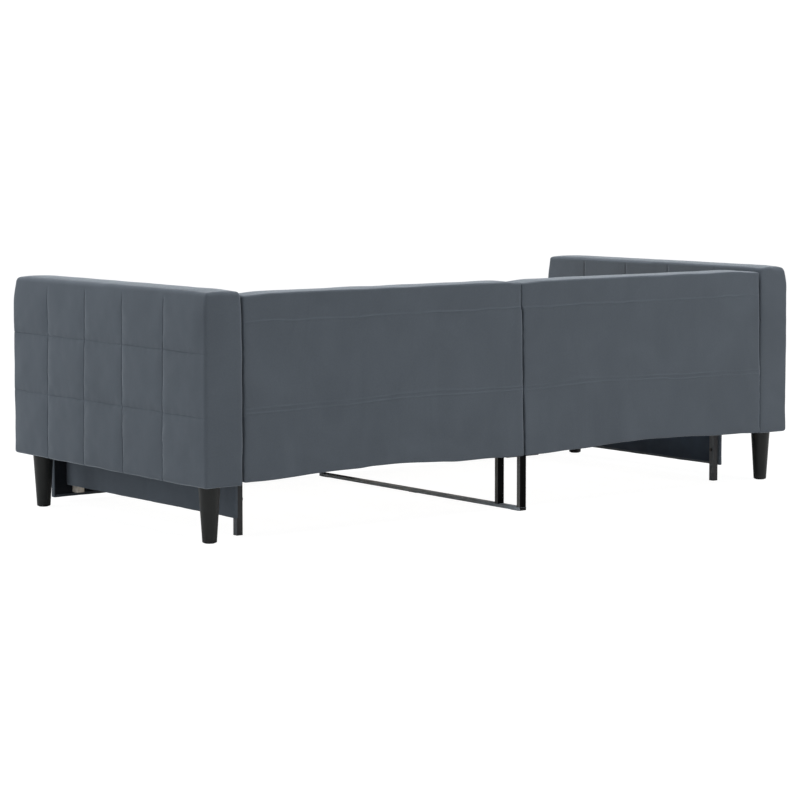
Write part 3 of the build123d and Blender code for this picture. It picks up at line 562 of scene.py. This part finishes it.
BY_NODE = {
    "arm_right_frame": M_PINE["Y"], "arm_left_frame": M_PINE["Y"],
    "back_right_frame": M_PINE["X"], "back_left_frame": M_PINE["X"],
    "base_front_boards": M_PINE["X"], "base_rear_rail": M_PINE["X"], "base_cleats": M_PINE["X"],
    "base_cross_beam": M_PINE["Y"], "trundle_corner_battens": M_PINE_LIT,
    "trundle_front_rail": M_PINE["X"], "caster_blocks": M_PINE["X"],
    "arm_boards": M_HARDBOARD, "back_boards": M_HARDBOARD, "trundle_front_boards": M_HARDBOARD,
    "trundle_side_boards": M_HARDBOARD,
    "base_slats": M_BIRCH, "trundle_slats": M_BIRCH,
    "base_slat_straps": M_WEBBING, "trundle_slat_straps": M_WEBBING,
    "arm_linings": M_LINING, "trundle_front_lining": M_LINING, "trundle_side_linings": M_LINING_LIT,
    "support_foot_bar": M_FOOT_STEEL, "support_post_rear": M_SUPPORT, "support_post_inner": M_SUPPORT,
    "trundle_rear_leg_right": M_LEG_STEEL, "trundle_rear_leg_left": M_LEG_STEEL, "trundle_rear_rail": M_STEEL,
    "back_arm_bolts": M_ZINC, "back_centre_bolts": M_ZINC, "leg_studs": M_ZINC, "leg_plates": M_ZINC,
    "leg_plate_screws": M_ZINC, "rail_brackets": M_ZINC, "rail_bolts": M_ZINC,
    "support_screws": M_ZINC, "trundle_bolts": M_STEEL, "caster_fork_right": M_ZINC,
    "caster_fork_left": M_ZINC, "caster_axles": M_ZINC,
    "leg_glides": M_PLASTIC, "support_pads": M_PLASTIC, "trundle_leg_caps": M_PLASTIC,
    "caster_wheel_right": M_PLASTIC, "caster_wheel_left": M_PLASTIC,
    "caster_tyre_right": M_TYRE, "caster_tyre_left": M_TYRE,
}
for side in ("right", "left"):
    for end in ("rear", "front"):
        BY_NODE[f"leg_{end}_{side}"] = M_LACQUER
for name, o in NODES.items():
    m = BY_NODE.get(name, M_VELVET)
    o.data.materials.clear()
    o.data.materials.append(m)


# ================================================================= padded velvet pieces
STEP = 0.0135


def finish_piece(o, body, nodes, material=None):
    o.data.materials.clear()
    o.data.materials.append(material or M_VELVET)
    if "rest" in o.data.attributes:
        o.data.attributes.remove(o.data.attributes["rest"])
    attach(o, body)
    if nodes:
        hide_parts(*nodes)
    return o


def seam_lines(u, v, du_marks, dv_marks, fade, seed, wide=0.0013):
    """How near each point is to an upright and to a level line of the seams, from 0 to 1 in the line; the grooves and
    their painted shade follow it. The level ones were sewn first and are looser, so they come and go."""
    up = np.exp(-((nearest(u, du_marks) / wide) ** 2)) * fade
    loose = 0.46 + 0.16 * np.clip(waves(u, 0.2 * v, 0.17, seed), -1.4, 1.4)
    level = np.exp(-((nearest(v, dv_marks) / 0.0019) ** 2)) * loose
    return up, level


# ---- arms
ARM_SEAM_Y = (-0.310, -0.104, 0.104, 0.310)
ARM_SEAM_Z = (0.349, 0.522)
# how far the right arm's upright seams stray along Y, from its front to its rear: at three heights
STRAY = [(0.24, (0.0, -0.0080, -0.0110, -0.0070, -0.0070, 0.0)),
         (0.44, (0.0, -0.0050, -0.0040, -0.0080, -0.0040, 0.0)),
         (0.64, (0.0, -0.0025, 0.0025, -0.0035, 0.0025, 0.0))]


def arm(side):
    """side 1 is the right arm seen from the front, -1 the left one."""
    name = "arm_right" if side > 0 else "arm_left"
    x_in = 1.0045 if side > 0 else 0.9925
    lo = np.array([x_in, -0.5195, 0.1588])
    hi = np.array([1.1245, 0.5195, 0.6885] if side > 0 else [1.1150, 0.5135, 0.6885])
    seam_y = ARM_SEAM_Y if side > 0 else (-0.3235, -0.1160, 0.0870, 0.3040)
    xs = axis_lines(lo[0], hi[0], 0.011, 0.011, (), STEP)
    ys = axis_lines(lo[1], hi[1], 0.014, 0.011, seam_y, STEP)
    zs = axis_lines(lo[2], hi[2], 0.010, 0.015, ARM_SEAM_Z, STEP)
    rest, faces = lattice_box(xs, ys, zs)
    z = rest[:, 2]
    top = smooth(0.620, 0.680, z)
    at_front = rest[:, 1] < 0
    at_inner = rest[:, 0] < (lo[0] + hi[0]) / 2
    soft = 0.0 if side > 0 else 1.0
    rx = np.where(at_front, 0.013, np.where(at_inner, 0.0055 + 0.005 * (1 - soft) * top, 0.0085 + 0.009 * soft * top))
    ry = np.where(at_front, 0.014 + 0.002 * top, np.where(at_inner, 0.0065 + 0.006 * (1 - soft) * top, 0.0090 + 0.008 * soft * top))
    rz = np.where(at_inner, 0.016 - 0.008 * soft, 0.013 + 0.007 * soft)
    r_lo = np.stack([rx, ry, np.full_like(z, 0.009)], 1)
    r_hi = np.stack([rx, ry, rz], 1)
    co = rounded(rest, lo, hi, r_lo, r_hi)
    # crown over the top, a little lower at both ends
    u = (co[:, 0] - (lo[0] + hi[0]) / 2) / ((hi[0] - lo[0]) / 2)
    crown = 0.0035 * (1 - u ** 2) - 0.0025 * smooth(0.42, 0.515, co[:, 1]) - 0.002 * smooth(0.44, 0.51, -co[:, 1])
    co[:, 2] += crown * smooth(0.62, 0.688, co[:, 2])
    # the outer face leans in a little under the crown, and the front end leans back
    lean = (0.0045 if side > 0 else 0.007) * smooth(0.620, 0.692, co[:, 2]) ** 1.5
    co[:, 0] -= lean * smooth(0.3, 1.0, u)
    co[:, 1] += 0.011 * smooth(0.600, 0.695, co[:, 2]) ** 1.2 * (1 - smooth(-0.505, -0.400, co[:, 1]))
    if side < 0:
        # room for the trundle's front panel and the rail beside it
        room = (1 - smooth(0.300, 0.350, co[:, 2])) * (1 - smooth(-0.470, -0.380, co[:, 1]))
        co[:, 0] += 0.0115 * room * smooth(0.2, 1.0, -u)
    if side > 0:
        rows = [np.interp(rest[:, 1], (lo[1], *seam_y, hi[1]), row) for _, row in STRAY]
        t = np.clip((co[:, 2] - STRAY[0][0]) / (STRAY[1][0] - STRAY[0][0]), 0, 2)
        co[:, 1] += np.where(t < 1, rows[0] + (rows[1] - rows[0]) * t, rows[1] + (rows[2] - rows[1]) * (t - 1))
        # its rear end is a little thicker below
        co[:, 0] -= 0.0030 * (1 - smooth(0.50, 0.63, co[:, 2])) * smooth(0.490, 0.507, co[:, 1]) * smooth(0.0, 1.0, -u)
    faces_x = np.abs(rest[:, 0] - (lo[0] + hi[0]) / 2) > (hi[0] - lo[0]) / 2 - 1e-6
    in_seam = (nearest(rest[:, 1], seam_y) < 1e-4) & (z < 0.670) | (nearest(z, ARM_SEAM_Z) < 1e-4)
    out_sign = np.sign(rest[:, 0] - (lo[0] + hi[0]) / 2)
    # seams pull in
    fade = 1 - smooth(0.590, 0.672, z)
    d_up, d_lv = nearest(rest[:, 1], seam_y), nearest(z, ARM_SEAM_Z)
    edge = 1 - 0.55 * smooth(0.490, 0.5195, np.abs(rest[:, 1]))
    dip = 1 - (1 - 0.6 * fade * np.exp(-d_up / 0.014)) * (1 - 0.7 * edge * np.exp(-d_lv / 0.020))
    co[:, 0] -= out_sign * faces_x * 0.0022 * dip
    o = new_mesh(name, co, faces, {"rest": rest})
    seed = 11 if side > 0 else 29
    low = z < 0.17
    move = inflate(o, (faces_x & in_seam) | low, 2.0, 0.0026, frames=16, grow=0.005)
    calm = (1 - 0.85 * smooth(0.600, 0.660, z)) * (1 - 0.8 * smooth(0.460, 0.510, np.abs(rest[:, 1])))
    set_coords(o.data, coords(o.data) + move * calm[:, None])
    subdivide(o)
    me = o.data
    rest = vector_attribute(me, "rest")
    co, no = coords(me), normals(me)
    z = rest[:, 2]
    on_face = np.abs(no[:, 0])
    fade = np.where(rest[:, 0] < (lo[0] + hi[0]) / 2, 1 - smooth(0.668, 0.685, z), 1 - smooth(0.652, 0.676, z))
    up, level = seam_lines(rest[:, 1] + 0.0003 * waves(rest[:, 1], z, 0.09, seed), z + 0.0008 * waves(rest[:, 1], z, 0.11, seed + 1),
                           seam_y, ARM_SEAM_Z, fade, seed + 6, 0.0024 if side < 0 else 0.0014)
    face = smooth(0.55, 0.9, on_face)
    line = np.maximum(up, level) * face
    co = co - no * (0.0019 * line + (0.0013 if side < 0 else -0.0002) * up * face)[:, None]
    # the cloth lies a little unevenly over the foam
    uneven = 0.00050 * waves(rest[:, 1] + 0.4 * rest[:, 0], z, 0.18, seed + 2) + 0.00020 * waves(rest[:, 1], z + rest[:, 0], 0.07, seed + 3)
    co = co + no * (uneven * (1 - 0.6 * smooth(0.62, 0.67, z)))[:, None]
    # short pulls at right angles to the seams
    pull = 0.5 * np.sin(2 * math.pi * rest[:, 1] / 0.024 + 1.5 * waves(rest[:, 1], z, 0.12, seed + 4)) * np.exp(-d_line(z, ARM_SEAM_Z) / 0.010)
    pull += np.sin(2 * math.pi * z / 0.024 + 1.5 * waves(rest[:, 1], z, 0.12, seed + 5)) * np.exp(-d_line(rest[:, 1], seam_y) / 0.010) * fade
    co = co + no * (0.00016 * pull * face)[:, None]
    if side < 0:
        co[:, 0] *= -1
        me.flip_normals()
    set_coords(me, co)
    # painted shade: the top is painted a little darker, more so on the right arm
    top_shade = (0.9 if side > 0 else 0.4) * smooth(0.80, 0.98, no[:, 2]) * smooth(0.660, 0.685, z)
    # at the rear: painted shade on the left arm's rear face along its inner edge; the right arm gets a painted
    # highlight strip there (below)
    rear = smooth(0.5, 0.9, no[:, 1])
    inward = rest[:, 0] - lo[0]
    shade = np.exp(-inward / 0.010) * rear if side < 0 else 0.0
    put_float(me, "painted_shade_mask", np.clip(np.maximum(up, level) * face + top_shade + shade, 0, 1))
    # painted highlight: a light strip is painted just behind each of the upright seams, on its rear side
    highlight_line = np.exp(-((nearest(rest[:, 1] - 0.0050, seam_y) / 0.0026) ** 2)) * fade * face
    highlight_line = highlight_line * np.clip(0.75 + 0.3 * waves(rest[:, 1], z, 0.15, seed + 7), 0, 1)
    # painted highlight: the right arm also gets a light strip painted on its rear face, near the inner edge
    if side > 0:
        highlight_line = highlight_line + 0.9 * rear * np.exp(-(((inward - 0.0042) / 0.0026) ** 2)) * smooth(0.17, 0.20, z) * (1 - smooth(0.64, 0.67, z))
    put_float(me, "painted_highlight_mask", np.clip(highlight_line, 0, 1))
    # edges lighter: partly worn pile and partly a painted highlight on the crown's rim, weaker low down
    rim = smooth(0.640, 0.680, z) * (1 - smooth(0.90, 0.995, np.abs(no).max(1)))
    high = 0.25 + 0.75 * smooth(0.20, 0.34, z)
    put_float(me, "wear_and_highlight_mask", np.clip(rim + 0.4 * (1 - smooth(0.86, 0.99, np.abs(no).max(1))), 0, 1) * 0.7 * high)
    return finish_piece(o, "daybed", [name + "_cover"])


def d_line(v, marks):
    return nearest(v, marks)


# ---- backs
HEM_RIGHT = [(1.004, 0.1668), (0.974, 0.1670), (0.934, 0.1656), (0.894, 0.1662), (0.854, 0.1685),
             (0.814, 0.1706), (0.773, 0.1728), (0.700, 0.1738), (0.640, 0.1736), (0.596, 0.1740), (0.572, 0.1772), (0.556, 0.1778),
             (0.480, 0.1771), (0.393, 0.1744), (0.305, 0.1698), (0.261, 0.1666), (0.216, 0.1669),
             (0.126, 0.1659), (0.041, 0.1637), (-0.02, 0.1637)]
HEM_LEFT = [(-0.02, 0.1641), (0.013, 0.1641), (0.060, 0.1651), (0.154, 0.1665), (0.250, 0.1680),
            (0.277, 0.1699), (0.397, 0.1750), (0.517, 0.1767), (0.639, 0.1737), (0.761, 0.1687),
            (0.816, 0.1657), (0.860, 0.1651), (0.914, 0.1667), (0.941, 0.1637), (1.004, 0.1637)]
# where the joint of the two backs runs, from the floor up: (height, place along X)
JOINT_LINE = [(0.15, -0.003), (0.166, -0.003), (0.269, 0.0004), (0.387, 0.0033), (0.534, 0.0045),
              (0.592, 0.0070), (0.606, 0.0132), (0.70, 0.0134)]
# the ridges across the rear cloth over the middle rail, lower and upper: (place along X from the
# middle, height); the one over the top rail is level
FOLDS = {
    1: ([(0.0, 0.3605), (0.13, 0.3610), (0.22, 0.3630), (0.31, 0.3640), (0.40, 0.3650), (0.53, 0.3630), (0.61, 0.3600),
         (0.66, 0.3580), (0.74, 0.3565), (0.82, 0.3560), (0.90, 0.3530), (0.98, 0.3540), (1.01, 0.3540)],
        [(0.0, 0.3700), (0.09, 0.3710), (0.18, 0.3730), (0.27, 0.3770), (0.36, 0.3775), (0.44, 0.3770), (0.49, 0.3760),
         (0.53, 0.3730), (0.61, 0.3720), (0.70, 0.3705), (0.78, 0.3690), (0.86, 0.3685), (0.94, 0.3660), (1.01, 0.3655)]),
    -1: ([(0.0, 0.3570), (0.02, 0.3575), (0.07, 0.3606), (0.16, 0.3640), (0.26, 0.3655), (0.31, 0.3670), (0.41, 0.3660),
          (0.46, 0.3630), (0.56, 0.3620), (0.61, 0.3560), (0.82, 0.3560), (0.92, 0.3520), (1.01, 0.3520)],
         [(0.0, 0.3690), (0.02, 0.3690), (0.07, 0.3710), (0.115, 0.3740), (0.16, 0.3770), (0.21, 0.3790), (0.31, 0.3780),
          (0.36, 0.3766), (0.46, 0.3740), (0.56, 0.3720), (0.66, 0.3685), (0.76, 0.3690), (0.82, 0.3680), (0.87, 0.3645),
          (0.92, 0.3660), (1.01, 0.3655)]),
}
FOLD_TOP = 0.6030


def curve_through(points, v):
    p = np.array(sorted(points))
    fine = np.linspace(p[0, 0], p[-1, 0], 600)
    w = np.interp(fine, p[:, 0], p[:, 1])
    k = np.ones(19) / 19
    w = np.convolve(np.pad(w, 9, mode="edge"), k, mode="valid")
    return np.interp(v, fine, w)


def back(side):
    name = "back_right" if side > 0 else "back_left"
    hem = HEM_RIGHT if side > 0 else HEM_LEFT
    x_end = 1.0000 if side > 0 else 0.9880
    lo = np.array([0.0030, 0.4155, 0.1650])
    hi = np.array([x_end, 0.5197, 0.6790])
    seam_x = tuple(lo[0] + (hi[0] - lo[0]) * t for t in (0.2, 0.4, 0.6, 0.8))
    seam_z = (0.349, 0.522)
    xs = axis_lines(lo[0], hi[0], 0.009, 0.009, seam_x, STEP)
    ys = axis_lines(lo[1], hi[1], 0.018, 0.0055, (), STEP)
    zs = axis_lines(lo[2], hi[2], 0.006, 0.0065, (*seam_z, FOLD_TOP), STEP, extra=np.arange(0.3512, 0.3810, 0.0022))
    rest, faces = lattice_box(xs, ys, zs)
    z = rest[:, 2]
    front = rest[:, 1] < 0.467
    rx = np.where(front, 0.012, np.where(rest[:, 0] > 0.5, 0.0062, 0.0050))
    ry = np.where(front, 0.016, 0.0048)
    r_lo = np.stack([rx, np.full_like(z, 0.018), np.full_like(z, 0.004)], 1)
    r_hi = np.stack([rx, ry, np.where(front, 0.017, 0.0055)], 1)
    co = rounded(rest, lo, hi, r_lo, r_hi)
    v = (co[:, 1] - (lo[1] + hi[1]) / 2) / ((hi[1] - lo[1]) / 2)
    ends = 0.0050 * ((1 - smooth(0.0, 0.08, rest[:, 0])) + smooth(hi[0] - 0.10, hi[0], rest[:, 0]))
    crown = 0.0022 * (1 - v ** 2) - ends
    co[:, 2] += crown * smooth(0.62, 0.679, co[:, 2])
    # lower hem, higher in the middle
    low = 1 - smooth(lo[2], lo[2] + 0.11, co[:, 2])
    co[:, 2] += (curve_through(hem, rest[:, 0]) - lo[2]) * low
    on_front = rest[:, 1] < lo[1] + 1e-6
    on_rear = rest[:, 1] > hi[1] - 1e-6
    fade = 1 - smooth(0.615, 0.650, z)
    d_up, d_lv = nearest(rest[:, 0], seam_x), nearest(z, seam_z)
    dip = 1 - (1 - fade * np.exp(-d_up / 0.020)) * (1 - np.exp(-d_lv / 0.020))
    co[:, 1] += on_front * 0.0030 * dip
    seed = 41 if side > 0 else 67
    o = new_mesh(name, co, faces, {"rest": rest})
    in_seam = (nearest(rest[:, 0], seam_x) < 1e-4) & (z < 0.64) | (nearest(z, seam_z) < 1e-4)
    hold = (on_front & in_seam) | (z < 0.172) | on_rear
    move = inflate(o, hold, 2.0, 0.0030, frames=16, grow=0.006)
    calm = 1 - 0.85 * smooth(0.590, 0.660, z)
    set_coords(o.data, coords(o.data) + move * calm[:, None])
    subdivide(o)
    me = o.data
    rest = vector_attribute(me, "rest")
    co, no = coords(me), normals(me)
    x, z = rest[:, 0], rest[:, 2]
    fade = 1 - smooth(0.625, 0.650, z)
    front = smooth(0.55, 0.9, -no[:, 1])
    rear = smooth(0.55, 0.9, no[:, 1])
    up, level = seam_lines(x + 0.0007 * waves(x, z, 0.09, seed), z + 0.0008 * waves(x, z, 0.11, seed + 1), seam_x, seam_z, fade, seed + 9)
    line = np.maximum(up, level) * front
    co = co - no * (0.0022 * line)[:, None]
    # the rear cloth: plain, stretched over the rails, which show as fine ridges
    wob = 0.0005 * waves(x, 0 * x, 0.13, seed + 6)
    ridge = 1.1 * np.exp(-(((z + 2 * wob - FOLD_TOP) / 0.0024) ** 2))
    for line_at, amp in zip(FOLDS[side], (1.0, 0.85)):
        ridge = ridge + amp * np.exp(-(((z + wob - curve_through(line_at, x)) / 0.0024) ** 2))
    slack = np.exp(-(((z - 0.482) / 0.085) ** 2)) + 0.7 * np.exp(-(((z - 0.260) / 0.06) ** 2))
    slack = slack * smooth(0.0, 0.10, x) * smooth(0.0, 0.10, x_end - x)
    soft = 0.0009 * waves(x, z, 0.34, seed + 2) + 0.0003 * waves(x, z, 0.13, seed + 3)
    soft += 0.0006 * waves(x * 0.35, z, 0.055, seed + 8) * np.exp(-(((z - 0.20) / 0.05) ** 2))
    come_and_go = 0.78 + 0.22 * np.clip(waves(x, 3 * z, 0.20, seed + 10), -1.3, 1.0)
    ridge = ridge * come_and_go
    co[:, 1] += rear * np.maximum(0.0014 * ridge - 0.0012 * slack + 0.8 * soft, -0.0022)
    co = co + no * ((1 - rear) * (0.0005 * waves(x, z + rest[:, 1], 0.16, seed + 4)))[:, None]
    pull = np.sin(2 * math.pi * x / 0.024 + 1.5 * waves(x, z, 0.12, seed + 4)) * np.exp(-d_line(z, seam_z) / 0.010)
    pull += np.sin(2 * math.pi * z / 0.024 + 1.5 * waves(x, z, 0.12, seed + 5)) * np.exp(-d_line(x, seam_x) / 0.010) * fade
    co = co + no * (0.00022 * pull * front)[:, None]
    # in front the pads press against the arm and against each other
    press = 1 - smooth(0.440, 0.498, rest[:, 1])
    co[:, 0] += press * (0.0040 * smooth(x_end - 0.06, x_end, x) - 0.0024 * (1 - smooth(0.003, 0.06, x)))
    co[:, 0] -= (1 - press) * 0.0020 * smooth(0.596, 0.612, z) * (1 - smooth(0.003, 0.06, x))
    # the joint in the middle leans, more so in the top rail's height
    if side < 0:
        co[:, 0] *= -1
        me.flip_normals()
    p = np.array(JOINT_LINE)
    shift = np.interp(co[:, 2], p[:, 0], p[:, 1])
    near = 1 - smooth(0.0, 0.16, np.abs(co[:, 0]))
    co[:, 0] += shift * near
    if side < 0:
        # this back narrows upwards, away from its arm
        narrow = np.interp(co[:, 2], (0.17, 0.28, 0.36, 0.425, 0.52, 0.60, 0.64), (-0.0030, -0.0028, 0.0, 0.0030, 0.0055, 0.0090, 0.0105))
        co[:, 0] += narrow * smooth(0.82, x_end, np.abs(co[:, 0])) * (1 - 0.8 * press)
    else:
        narrow = 0.0030 * (1 - smooth(0.50, 0.63, co[:, 2]))
        co[:, 0] -= narrow * smooth(0.82, x_end, co[:, 0]) * (1 - press)
    set_coords(me, co)
    # along the joints: painted shade on one side of each joint and a painted highlight strip on the other
    shade = rear * np.exp(-(x_end - x) / 0.009) if side > 0 else rear * 0.6 * np.exp(-(x - lo[0]) / 0.006)
    put_float(me, "painted_shade_mask", np.clip(line + shade, 0, 1))
    beside = x - lo[0] if side > 0 else x_end - x
    put_float(me, "painted_highlight_mask", 0.9 * rear * np.exp(-(((beside - 0.0042) / 0.0026) ** 2)) * smooth(0.17, 0.20, z) * (1 - smooth(0.64, 0.665, z)))
    # edges lighter, partly worn pile and partly painted highlight, and painted highlights along the rear ridges
    edge = (1 - smooth(0.80, 0.99, np.abs(no).max(1))) * (1 - 0.5 * smooth(0.3, 0.7, no[:, 2]))
    put_float(me, "wear_and_highlight_mask", np.clip(1.1 * edge * smooth(0.17, 0.30, z) + 0.9 * rear * np.clip(ridge, 0, 1), 0, 1) * 0.8)
    return finish_piece(o, "daybed", [name + "_cover"])


# ---- plainer padded panels: rails, trundle front and sides, joiner
def panel(name, body, nodes, lo, hi, r, seed, step=None, bulge=(0, 0, 0), marks=None, soft=0.0005, flat=None, taper=0.0, material=None):
    """A velvet covered board: soft edges, slightly full faces. bulge is how far the faces across
    X, Y and Z stand out in their middles. flat is the axis and sign of a face with nothing but the
    board under its cloth, and taper is how much nearer the outer face across X comes to the inner
    one at the rear end."""
    lo, hi = np.array(lo, float), np.array(hi, float)
    step = step or STEP * 1.2
    marks = marks or ((), (), ())
    ax = [axis_lines(lo[i], hi[i], min(r * 1.15, (hi[i] - lo[i]) * 0.45), min(r * 1.15, (hi[i] - lo[i]) * 0.45), marks[i], step) for i in range(3)]
    rest, faces = lattice_box(*ax)
    rr = np.minimum(r, (hi - lo) * 0.45)
    co = rounded(rest, lo, hi, rr, rr)
    if taper:
        inner, outer = sorted((lo[0], hi[0]), key=abs)
        share = 1 - taper / abs(outer - inner) * (co[:, 1] - lo[1]) / (hi[1] - lo[1])
        co[:, 0] = inner + (co[:, 0] - inner) * share
    mid, half = (lo + hi) / 2, (hi - lo) / 2
    t = (co - mid) / half
    for i in range(3):
        j, k = [a for a in range(3) if a != i]
        full = np.clip(1 - np.abs(t[:, j]) ** 4, 0, 1) * np.clip(1 - np.abs(t[:, k]) ** 4, 0, 1)
        co[:, i] += np.sign(t[:, i]) * np.abs(t[:, i]) ** 3 * bulge[i] * full
    o = new_mesh(name, co, faces, {"rest": rest})
    subdivide(o)
    me = o.data
    rest = vector_attribute(me, "rest")
    co, no = coords(me), normals(me)
    w = waves(rest[:, 0] + rest[:, 1], rest[:, 2] + 0.3 * rest[:, 1], 0.14, seed) + 0.5 * waves(rest[:, 0] - rest[:, 1], rest[:, 2], 0.05, seed + 1)
    if flat:
        w = w * (1 - smooth(0.2, 0.7, flat[1] * no[:, flat[0]]))
    co = co + no * (soft * w)[:, None]
    set_coords(me, co)
    put_float(me, "painted_shade_mask", np.zeros(len(co)))
    put_float(me, "painted_highlight_mask", np.zeros(len(co)))
    put_float(me, "wear_and_highlight_mask", (1 - smooth(0.80, 0.99, np.abs(no).max(1))) * 0.35)
    return finish_piece(o, body, nodes, material)


arm(1)
arm(-1)
back(1)
back(-1)


def box_of(node):
    a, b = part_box(node)
    return np.array(a), np.array(b)


a, b = box_of("base_front_cover")
front_rail_r = panel("front_rail_right", "daybed", ["base_front_cover"], (0.0002, a[1] + 0.0010, a[2] - 0.0014), (b[0], b[1], b[2] - 0.001), 0.0055, 5, bulge=(0, 0.001, 0.0004), soft=0.0003)
front_rail_l = panel("front_rail_left", "daybed", None, (-b[0], a[1] + 0.0010, a[2] - 0.0014), (-0.0002, b[1], b[2] - 0.001), 0.0055, 7, bulge=(0, 0.001, 0.0004), soft=0.0003)

a, b = box_of("trundle_front_cover")
tf_r = panel("trundle_front_right", "trundle", ["trundle_front_cover"], (0.0008, a[1] + 0.0008, a[2]), (b[0], b[1] - 0.0001, b[2]), 0.0040, 9, soft=0.0003, flat=(1, 1))
tf_l = panel("trundle_front_left", "trundle", None, (-b[0], a[1] + 0.0008, a[2]), (-0.0008, b[1] - 0.0001, b[2]), 0.0040, 13, soft=0.0003, flat=(1, 1))

a, b = box_of("trundle_side_covers")
inner = box_of("trundle_rear_leg_right")[1][0] + 0.0012      # just outside the lining
# the side panels take the lighter copy of the velvet: painted light
ts_r = panel("trundle_side_right", "trundle", ["trundle_side_covers"], (inner, a[1], a[2]), (b[0], b[1], b[2]), 0.0026, 15, soft=0.00025, flat=(0, -1), taper=0.0105, material=M_VELVET_LIT)
ts_l = panel("trundle_side_left", "trundle", None, (-b[0], a[1], a[2]), (-inner, b[1], b[2]), 0.0026, 17, soft=0.00025, flat=(0, 1), taper=0.0105, material=M_VELVET_LIT)

a, b = box_of("trundle_joiner")
tj = panel("trundle_joiner_velvet", "trundle", ["trundle_joiner"], tuple(a), tuple(b), 0.004, 19, step=0.008, soft=0.0002)


# ================================================================= stage, light, camera
def area(name, size, size_y, power, at, look, color=(1, 1, 1)):
    light = bpy.data.lights.new(name, "AREA")
    light.shape = "RECTANGLE"
    light.size, light.size_y = size, size_y
    light.energy = power
    light.color = color
    o = bpy.data.objects.new(name, light)
    SCENE.collection.objects.link(o)
    o.location = at
    o.rotation_mode = "QUATERNION"
    o.rotation_quaternion = (Vector(look) - Vector(at)).to_track_quat("-Z", "Y")
    return o


def floor():
    """White paper: overexposed to the eye, as in a product shot, but a plain matt sheet to the
    light that falls on it."""
    n = Nodes("floor")
    soft = n.noise(0.8, 2.0)
    n.finish(n.mix(soft, (0.84, 0.84, 0.84), (0.86, 0.86, 0.86)), 0.9, Specular_IOR_Level=0.0)
    shown = n.node("ShaderNodeBsdfDiffuse")
    shown.inputs["Color"].default_value = (0.16, 0.16, 0.16, 1)
    glow = n.node("ShaderNodeEmission")
    glow.inputs["Strength"].default_value = 0.95
    both = n.node("ShaderNodeAddShader")
    n.link(shown.outputs[0], both.inputs[0])
    n.link(glow.outputs[0], both.inputs[1])
    pick = n.node("ShaderNodeMixShader")
    n.link(n.node("ShaderNodeLightPath").outputs["Is Camera Ray"], pick.inputs["Fac"])
    n.link(n.bsdf.outputs["BSDF"], pick.inputs[1])
    n.link(both.outputs[0], pick.inputs[2])
    n.link(pick.outputs[0], n.out.inputs["Surface"])
    s = 30.0
    o = new_mesh("floor", [(-s, -s, 0), (s, -s, 0), (s, s, 0), (-s, s, 0)], [(0, 1, 2, 3)])
    o.data.materials.append(n.mat)


floor()

world = bpy.data.worlds.new("studio")
SCENE.world = world
world.use_nodes = True
wt = world.node_tree
wt.nodes.clear()
wo = wt.nodes.new("ShaderNodeOutputWorld")
seen = wt.nodes.new("ShaderNodeBackground")
seen.inputs["Color"].default_value = (1, 1, 1, 1)
seen.inputs["Strength"].default_value = 1.15
lit = wt.nodes.new("ShaderNodeBackground")
lit.inputs["Color"].default_value = (0.97, 0.985, 1.0, 1)
lit.inputs["Strength"].default_value = 0.448
path = wt.nodes.new("ShaderNodeLightPath")
mixw = wt.nodes.new("ShaderNodeMixShader")
wt.links.new(path.outputs["Is Camera Ray"], mixw.inputs["Fac"])
wt.links.new(lit.outputs[0], mixw.inputs[1])
wt.links.new(seen.outputs[0], mixw.inputs[2])
wt.links.new(mixw.outputs[0], wo.inputs["Surface"])

area("top", 4.6, 4.2, 154.0, (0.0, 0.1, 3.4), (0.0, 0.0, 0.4))
area("front_side", 2.6, 2.2, 60.0, (4.2, -2.6, 1.9), (0.6, 0.0, 0.45), (0.93, 0.97, 1.0))
area("rear_side", 2.6, 2.2, 46.0, (-3.5, 3.5, 1.9), (-0.7, 0.4, 0.4), (1.0, 0.985, 0.96))

SCENE.view_settings.view_transform = "Standard"
SCENE.view_settings.look = "None"
SCENE.view_settings.exposure = 0.0
SCENE.view_settings.gamma = 1.0

cam = bpy.data.cameras.new("camera")
cam.sensor_width = 36.0
cam.sensor_fit = "AUTO"
cam.lens = 114.832
cam.shift_x = 0.0
cam.shift_y = -0.0794
cam.clip_end = 100.0
co = bpy.data.objects.new("camera", cam)
SCENE.collection.objects.link(co)
yaw, pitch, roll = 0.661431, 0.077121, -0.000578
fw = Vector((-math.sin(yaw) * math.cos(pitch), -math.cos(yaw) * math.cos(pitch), -math.sin(pitch)))
rt = Vector((-math.cos(yaw), math.sin(yaw), 0.0))
up = rt.cross(fw)
c, s = math.cos(roll), math.sin(roll)
rt, up = c * rt + s * up, -s * rt + c * up
rot = Matrix((rt, up, -fw)).transposed()
co.matrix_world = Matrix.Translation((4.881658, 6.193949, 1.095047)) @ rot.to_4x4()
SCENE.camera = co
